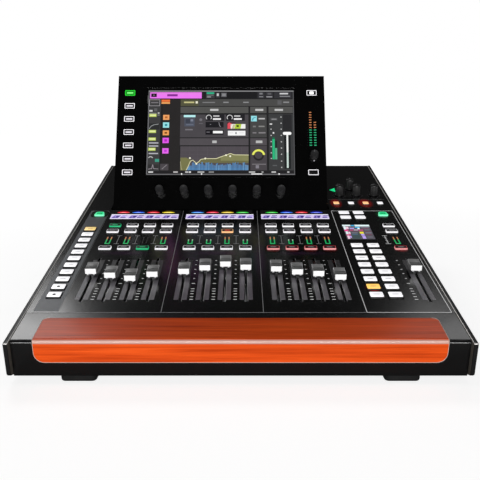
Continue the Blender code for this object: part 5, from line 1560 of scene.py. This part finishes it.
# ------------------------------------------------------------------ stage, light, world
floor_mesh = bpy.data.meshes.new("floor")
fb = bmesh.new()
bmesh.ops.create_grid(fb, x_segments=8, y_segments=8, size=6.0)
fb.to_mesh(floor_mesh)
fb.free()
floor = bpy.data.objects.new("floor", floor_mesh)
bpy.context.scene.collection.objects.link(floor)
floor.location = (0, 0, -0.0001)
fm = bpy.data.materials.new("pale_floor")
tree, nodes, links, shader = nodes_of(fm)
shader.inputs["Base Color"].default_value = (0.50, 0.50, 0.50, 1)
shader.inputs["Roughness"].default_value = 0.95
shader.inputs["Specular IOR Level"].default_value = 0.05
coord = nodes.new("ShaderNodeTexCoord")
shape = nodes.new("ShaderNodeMapping")
shape.inputs["Scale"].default_value = (1 / 0.27, 1 / 0.34, 1.0)
links.new(coord.outputs["Object"], shape.inputs["Vector"])
far = nodes.new("ShaderNodeVectorMath")
far.operation = "LENGTH"
links.new(shape.outputs["Vector"], far.inputs[0])
fade = nodes.new("ShaderNodeMapRange")
fade.interpolation_type = "SMOOTHSTEP"
for key, value in (("From Min", 0.9), ("From Max", 7.0), ("To Min", 0.84), ("To Max", 0.985)):
    fade.inputs[key].default_value = value
links.new(far.outputs["Value"], fade.inputs["Value"])
ray = nodes.new("ShaderNodeLightPath")
both = nodes.new("ShaderNodeMath")
both.operation = "MULTIPLY"
links.new(fade.outputs["Result"], both.inputs[0])
links.new(ray.outputs["Is Camera Ray"], both.inputs[1])
shader.inputs["Emission Color"].default_value = (1, 1, 1, 1)
links.new(both.outputs["Value"], shader.inputs["Emission Strength"])
floor_mesh.materials.append(fm)

world = bpy.data.worlds.new("studio")
bpy.context.scene.world = world
world.use_nodes = True
wn, wl = world.node_tree.nodes, world.node_tree.links
wn.clear()
out = wn.new("ShaderNodeOutputWorld")
mixw = wn.new("ShaderNodeMixShader")
seen = wn.new("ShaderNodeBackground")
seen.inputs["Color"].default_value = (1, 1, 1, 1)
seen.inputs["Strength"].default_value = 1.0
lit = wn.new("ShaderNodeBackground")
lit.inputs["Color"].default_value = (1, 1, 1, 1)
lit.inputs["Strength"].default_value = 0.028
path = wn.new("ShaderNodeLightPath")
wl.new(path.outputs["Is Camera Ray"], mixw.inputs["Fac"])
wl.new(lit.outputs["Background"], mixw.inputs[1])
wl.new(seen.outputs["Background"], mixw.inputs[2])
wl.new(mixw.outputs["Shader"], out.inputs["Surface"])


def area(name, loc, target, size, size_y, power, colour=(1, 1, 1)):
    d = bpy.data.lights.new(name, "AREA")
    d.shape, d.size, d.size_y, d.energy, d.color = "RECTANGLE", size, size_y, power, colour
    o = bpy.data.objects.new(name, d)
    bpy.context.scene.collection.objects.link(o)
    o.location = loc
    o.rotation_euler = (Vector(target) - Vector(loc)).to_track_quat("-Z", "Y").to_euler()
    return o


area("front_soft", (0.0, -2.7, 0.16), (0, -0.28, 0.06), 2.6, 0.36, 78)
area("overhead_strip", (0.0, -0.45, 2.0), (0, -0.25, 0.05), 2.2, 0.12, 2.5)
area("back_left", (-1.12, 1.62, 2.06), (-0.2, -0.25, 0.05), 0.72, 0.74, 11.5)
area("back_right", (1.08, 1.62, 2.06), (0.2, -0.25, 0.05), 0.66, 0.6, 3.2)
scene = bpy.context.scene
scene.view_settings.view_transform = "Standard"
scene.view_settings.look = "None"
